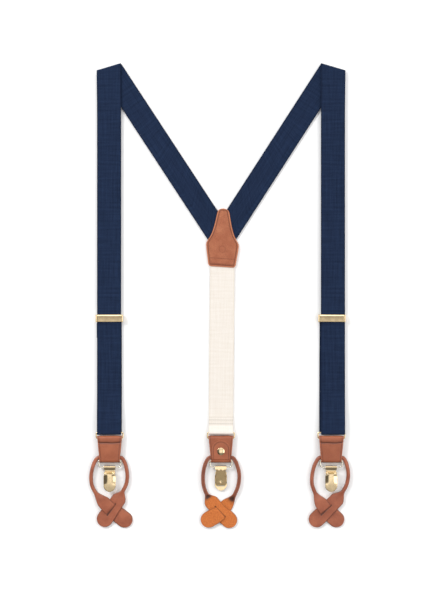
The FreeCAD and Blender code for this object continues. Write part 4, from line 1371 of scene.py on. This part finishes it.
def loop_arm(side, sign):
    """One arm from the tab's channel to its lobe's end: path, half width and half thickness.

    sign is +1 for the arm on the right, whose tongue has the slit. The other tongue lies over that
    one's upper half, dives through the slit and comes out beneath.
    """
    knots = np.array(ARM) * (sign, 1.0)
    knots[:, 0] += np.interp(knots[:, 1], HEIGHTS, SWAY[side])
    knots[:, 1] -= dropped(side, knots[:, 1])
    if side == "back" and sign > 0:
        knots[-1, 1] -= 1.8
    path = smooth_path(knots)
    y = path[:, 1] + dropped(side, path[:, 1])
    distance = np.r_[0, np.cumsum(np.linalg.norm(np.diff(path, axis=0), axis=1))]
    left = distance[-1] - distance
    radius = 8.6
    round_end = np.sqrt(np.clip(radius**2 - (radius - np.clip(left, 0.02, radius)) ** 2, 0.0, None))
    opened = ease((-y - 35.5) / 9.0) if sign > 0 else ease((-y - 36.5) / 12.5)
    full = 7.7 if sign > 0 else 6.9
    tongue = 2.0 + (full - 2.0) * opened + (radius - full) * ease((-y - 52.0) / 11.0)
    width = np.where(left < radius, np.minimum(round_end, tongue), tongue)
    slim = 0.55 * (1 - ease((-y - 4.0) / 8.0))
    thick = 2.0 - slim + (0.68 - 2.0) * ease((-y - 34.0) / 8.0)
    if sign > 0:
        z = 0.5 * ease((-y - 38) / 9)
    else:
        over = 1.95 * ease((-y - 37.0) / 9.5)
        under = -0.95 + 0.35 * ease((-y - 60.0) / 6.0)
        z = over + (under - over) * ease((CROSS_Y + 1.7 - y) / 3.4)
    slit = distance - np.interp(-CROSS_Y, -y, distance)
    return np.column_stack([path, z]), width, thick, opened, slit


def button_loop(side):
    place = placer(side, LOOP_BASE, math.radians(TILT[side]))
    one = loop_arm(side, 1.0)
    two = loop_arm(side, -1.0)
    # dive: painted shade where the second tongue goes down through the slit
    dive = np.concatenate([one[4] * 0, bell(two[4][1:], 0.8)])[:, None]
    two = (*two[:4], two[4] + 100.0)
    path, width, thick, flat, slit = (np.concatenate([a[::-1], b[1:]]) for a, b in zip(one, two))
    ahead = np.gradient(path, axis=0)
    ahead[:, 2] *= 0.35
    ahead /= np.linalg.norm(ahead, axis=1, keepdims=True)
    across = np.cross(np.broadcast_to([0.0, 0.0, 1.0], ahead.shape), ahead)
    across /= np.linalg.norm(across, axis=1, keepdims=True)
    up = np.cross(ahead, across)
    around = np.linspace(0, 2 * np.pi, 48, endpoint=False)
    power = (1.0 - 0.66 * flat)[:, None]
    c = np.sign(np.cos(around)) * np.abs(np.cos(around)) ** power
    s = np.sign(np.sin(around)) * np.abs(np.sin(around)) ** power
    mouth = bell(flat - 0.3, 0.28)[:, None] * np.clip(-np.sin(around), 0, 1) ** 3
    seam_line = bell(around - 1.5 * np.pi, 0.22) * (1 - flat[:, None])
    reach = thick[:, None] * (1 - 0.8 * mouth - 0.2 * seam_line)
    sideways = across[:, None] * (width[:, None] * c)[..., None]
    points = path[:, None] + sideways + up[:, None] * (reach * s)[..., None]
    flesh = np.clip(-np.sin(around) * 6, 0, 1)[None, :] * ease((flat[:, None] - 0.2) / 0.5)
    # the mark `rim` drives painted shade at the edges of the tongues and along the sides of the cord, with
    # a painted highlight just inside
    rim = np.clip((np.abs(c) - 0.84) / 0.16, 0, 1) * flat[:, None]
    rim = rim + 0.9 * np.clip((np.abs(c) - 0.72) / 0.28, 0, 1) * (1 - flat[:, None])
    cloth = np.stack([width[:, None] * c * MM, np.broadcast_to(slit[:, None] * MM, c.shape)], axis=-1)
    # the hollow mark: painted shade in the mouth under the rolled cord and where the second tongue dives
    # through the slit
    marks = {"flesh": flesh, "hollow_shade": np.clip(mouth * 1.3 + 0.8 * dive, 0, 0.95), "rim": rim}
    piece = make_piece(f"button_loop_{side}", place(points), cloth, smooth=50.0, marks=marks)
    nodes = [f"loop_{side}_{part}" for part in ("cord", "tab_a", "tab_b")]
    dress(piece, LOOP_LEATHER, f"loop_{side}", "tab_leather", *nodes)


for side in SIDES:
    button_loop(side)
print("button loops cross at", CROSS_Y, "mm")

# %% [markdown]
# ## Pieces that keep their shape
#
# Pins, the adjusters' frames, the snaps' studs, the jaws and the pads come from the frame as they
# are. They only get their finish.

# %% finish the remaining nodes


def polish(node, material):
    for slot in bpy.data.objects[node].material_slots:
        slot.material = material


for side in FRONTS:
    polish(f"slider_{side}_frame", GOLD)
    polish(f"slider_{side}_pin", GOLD)
for side in SIDES:
    polish(f"tab_{side}_snap_stud", SATIN_GOLD)
    polish(f"clip_{side}_pin", GOLD)
    polish(f"clip_{side}_jaw", SATIN_GOLD)
    polish(f"clip_{side}_pad", PAD)
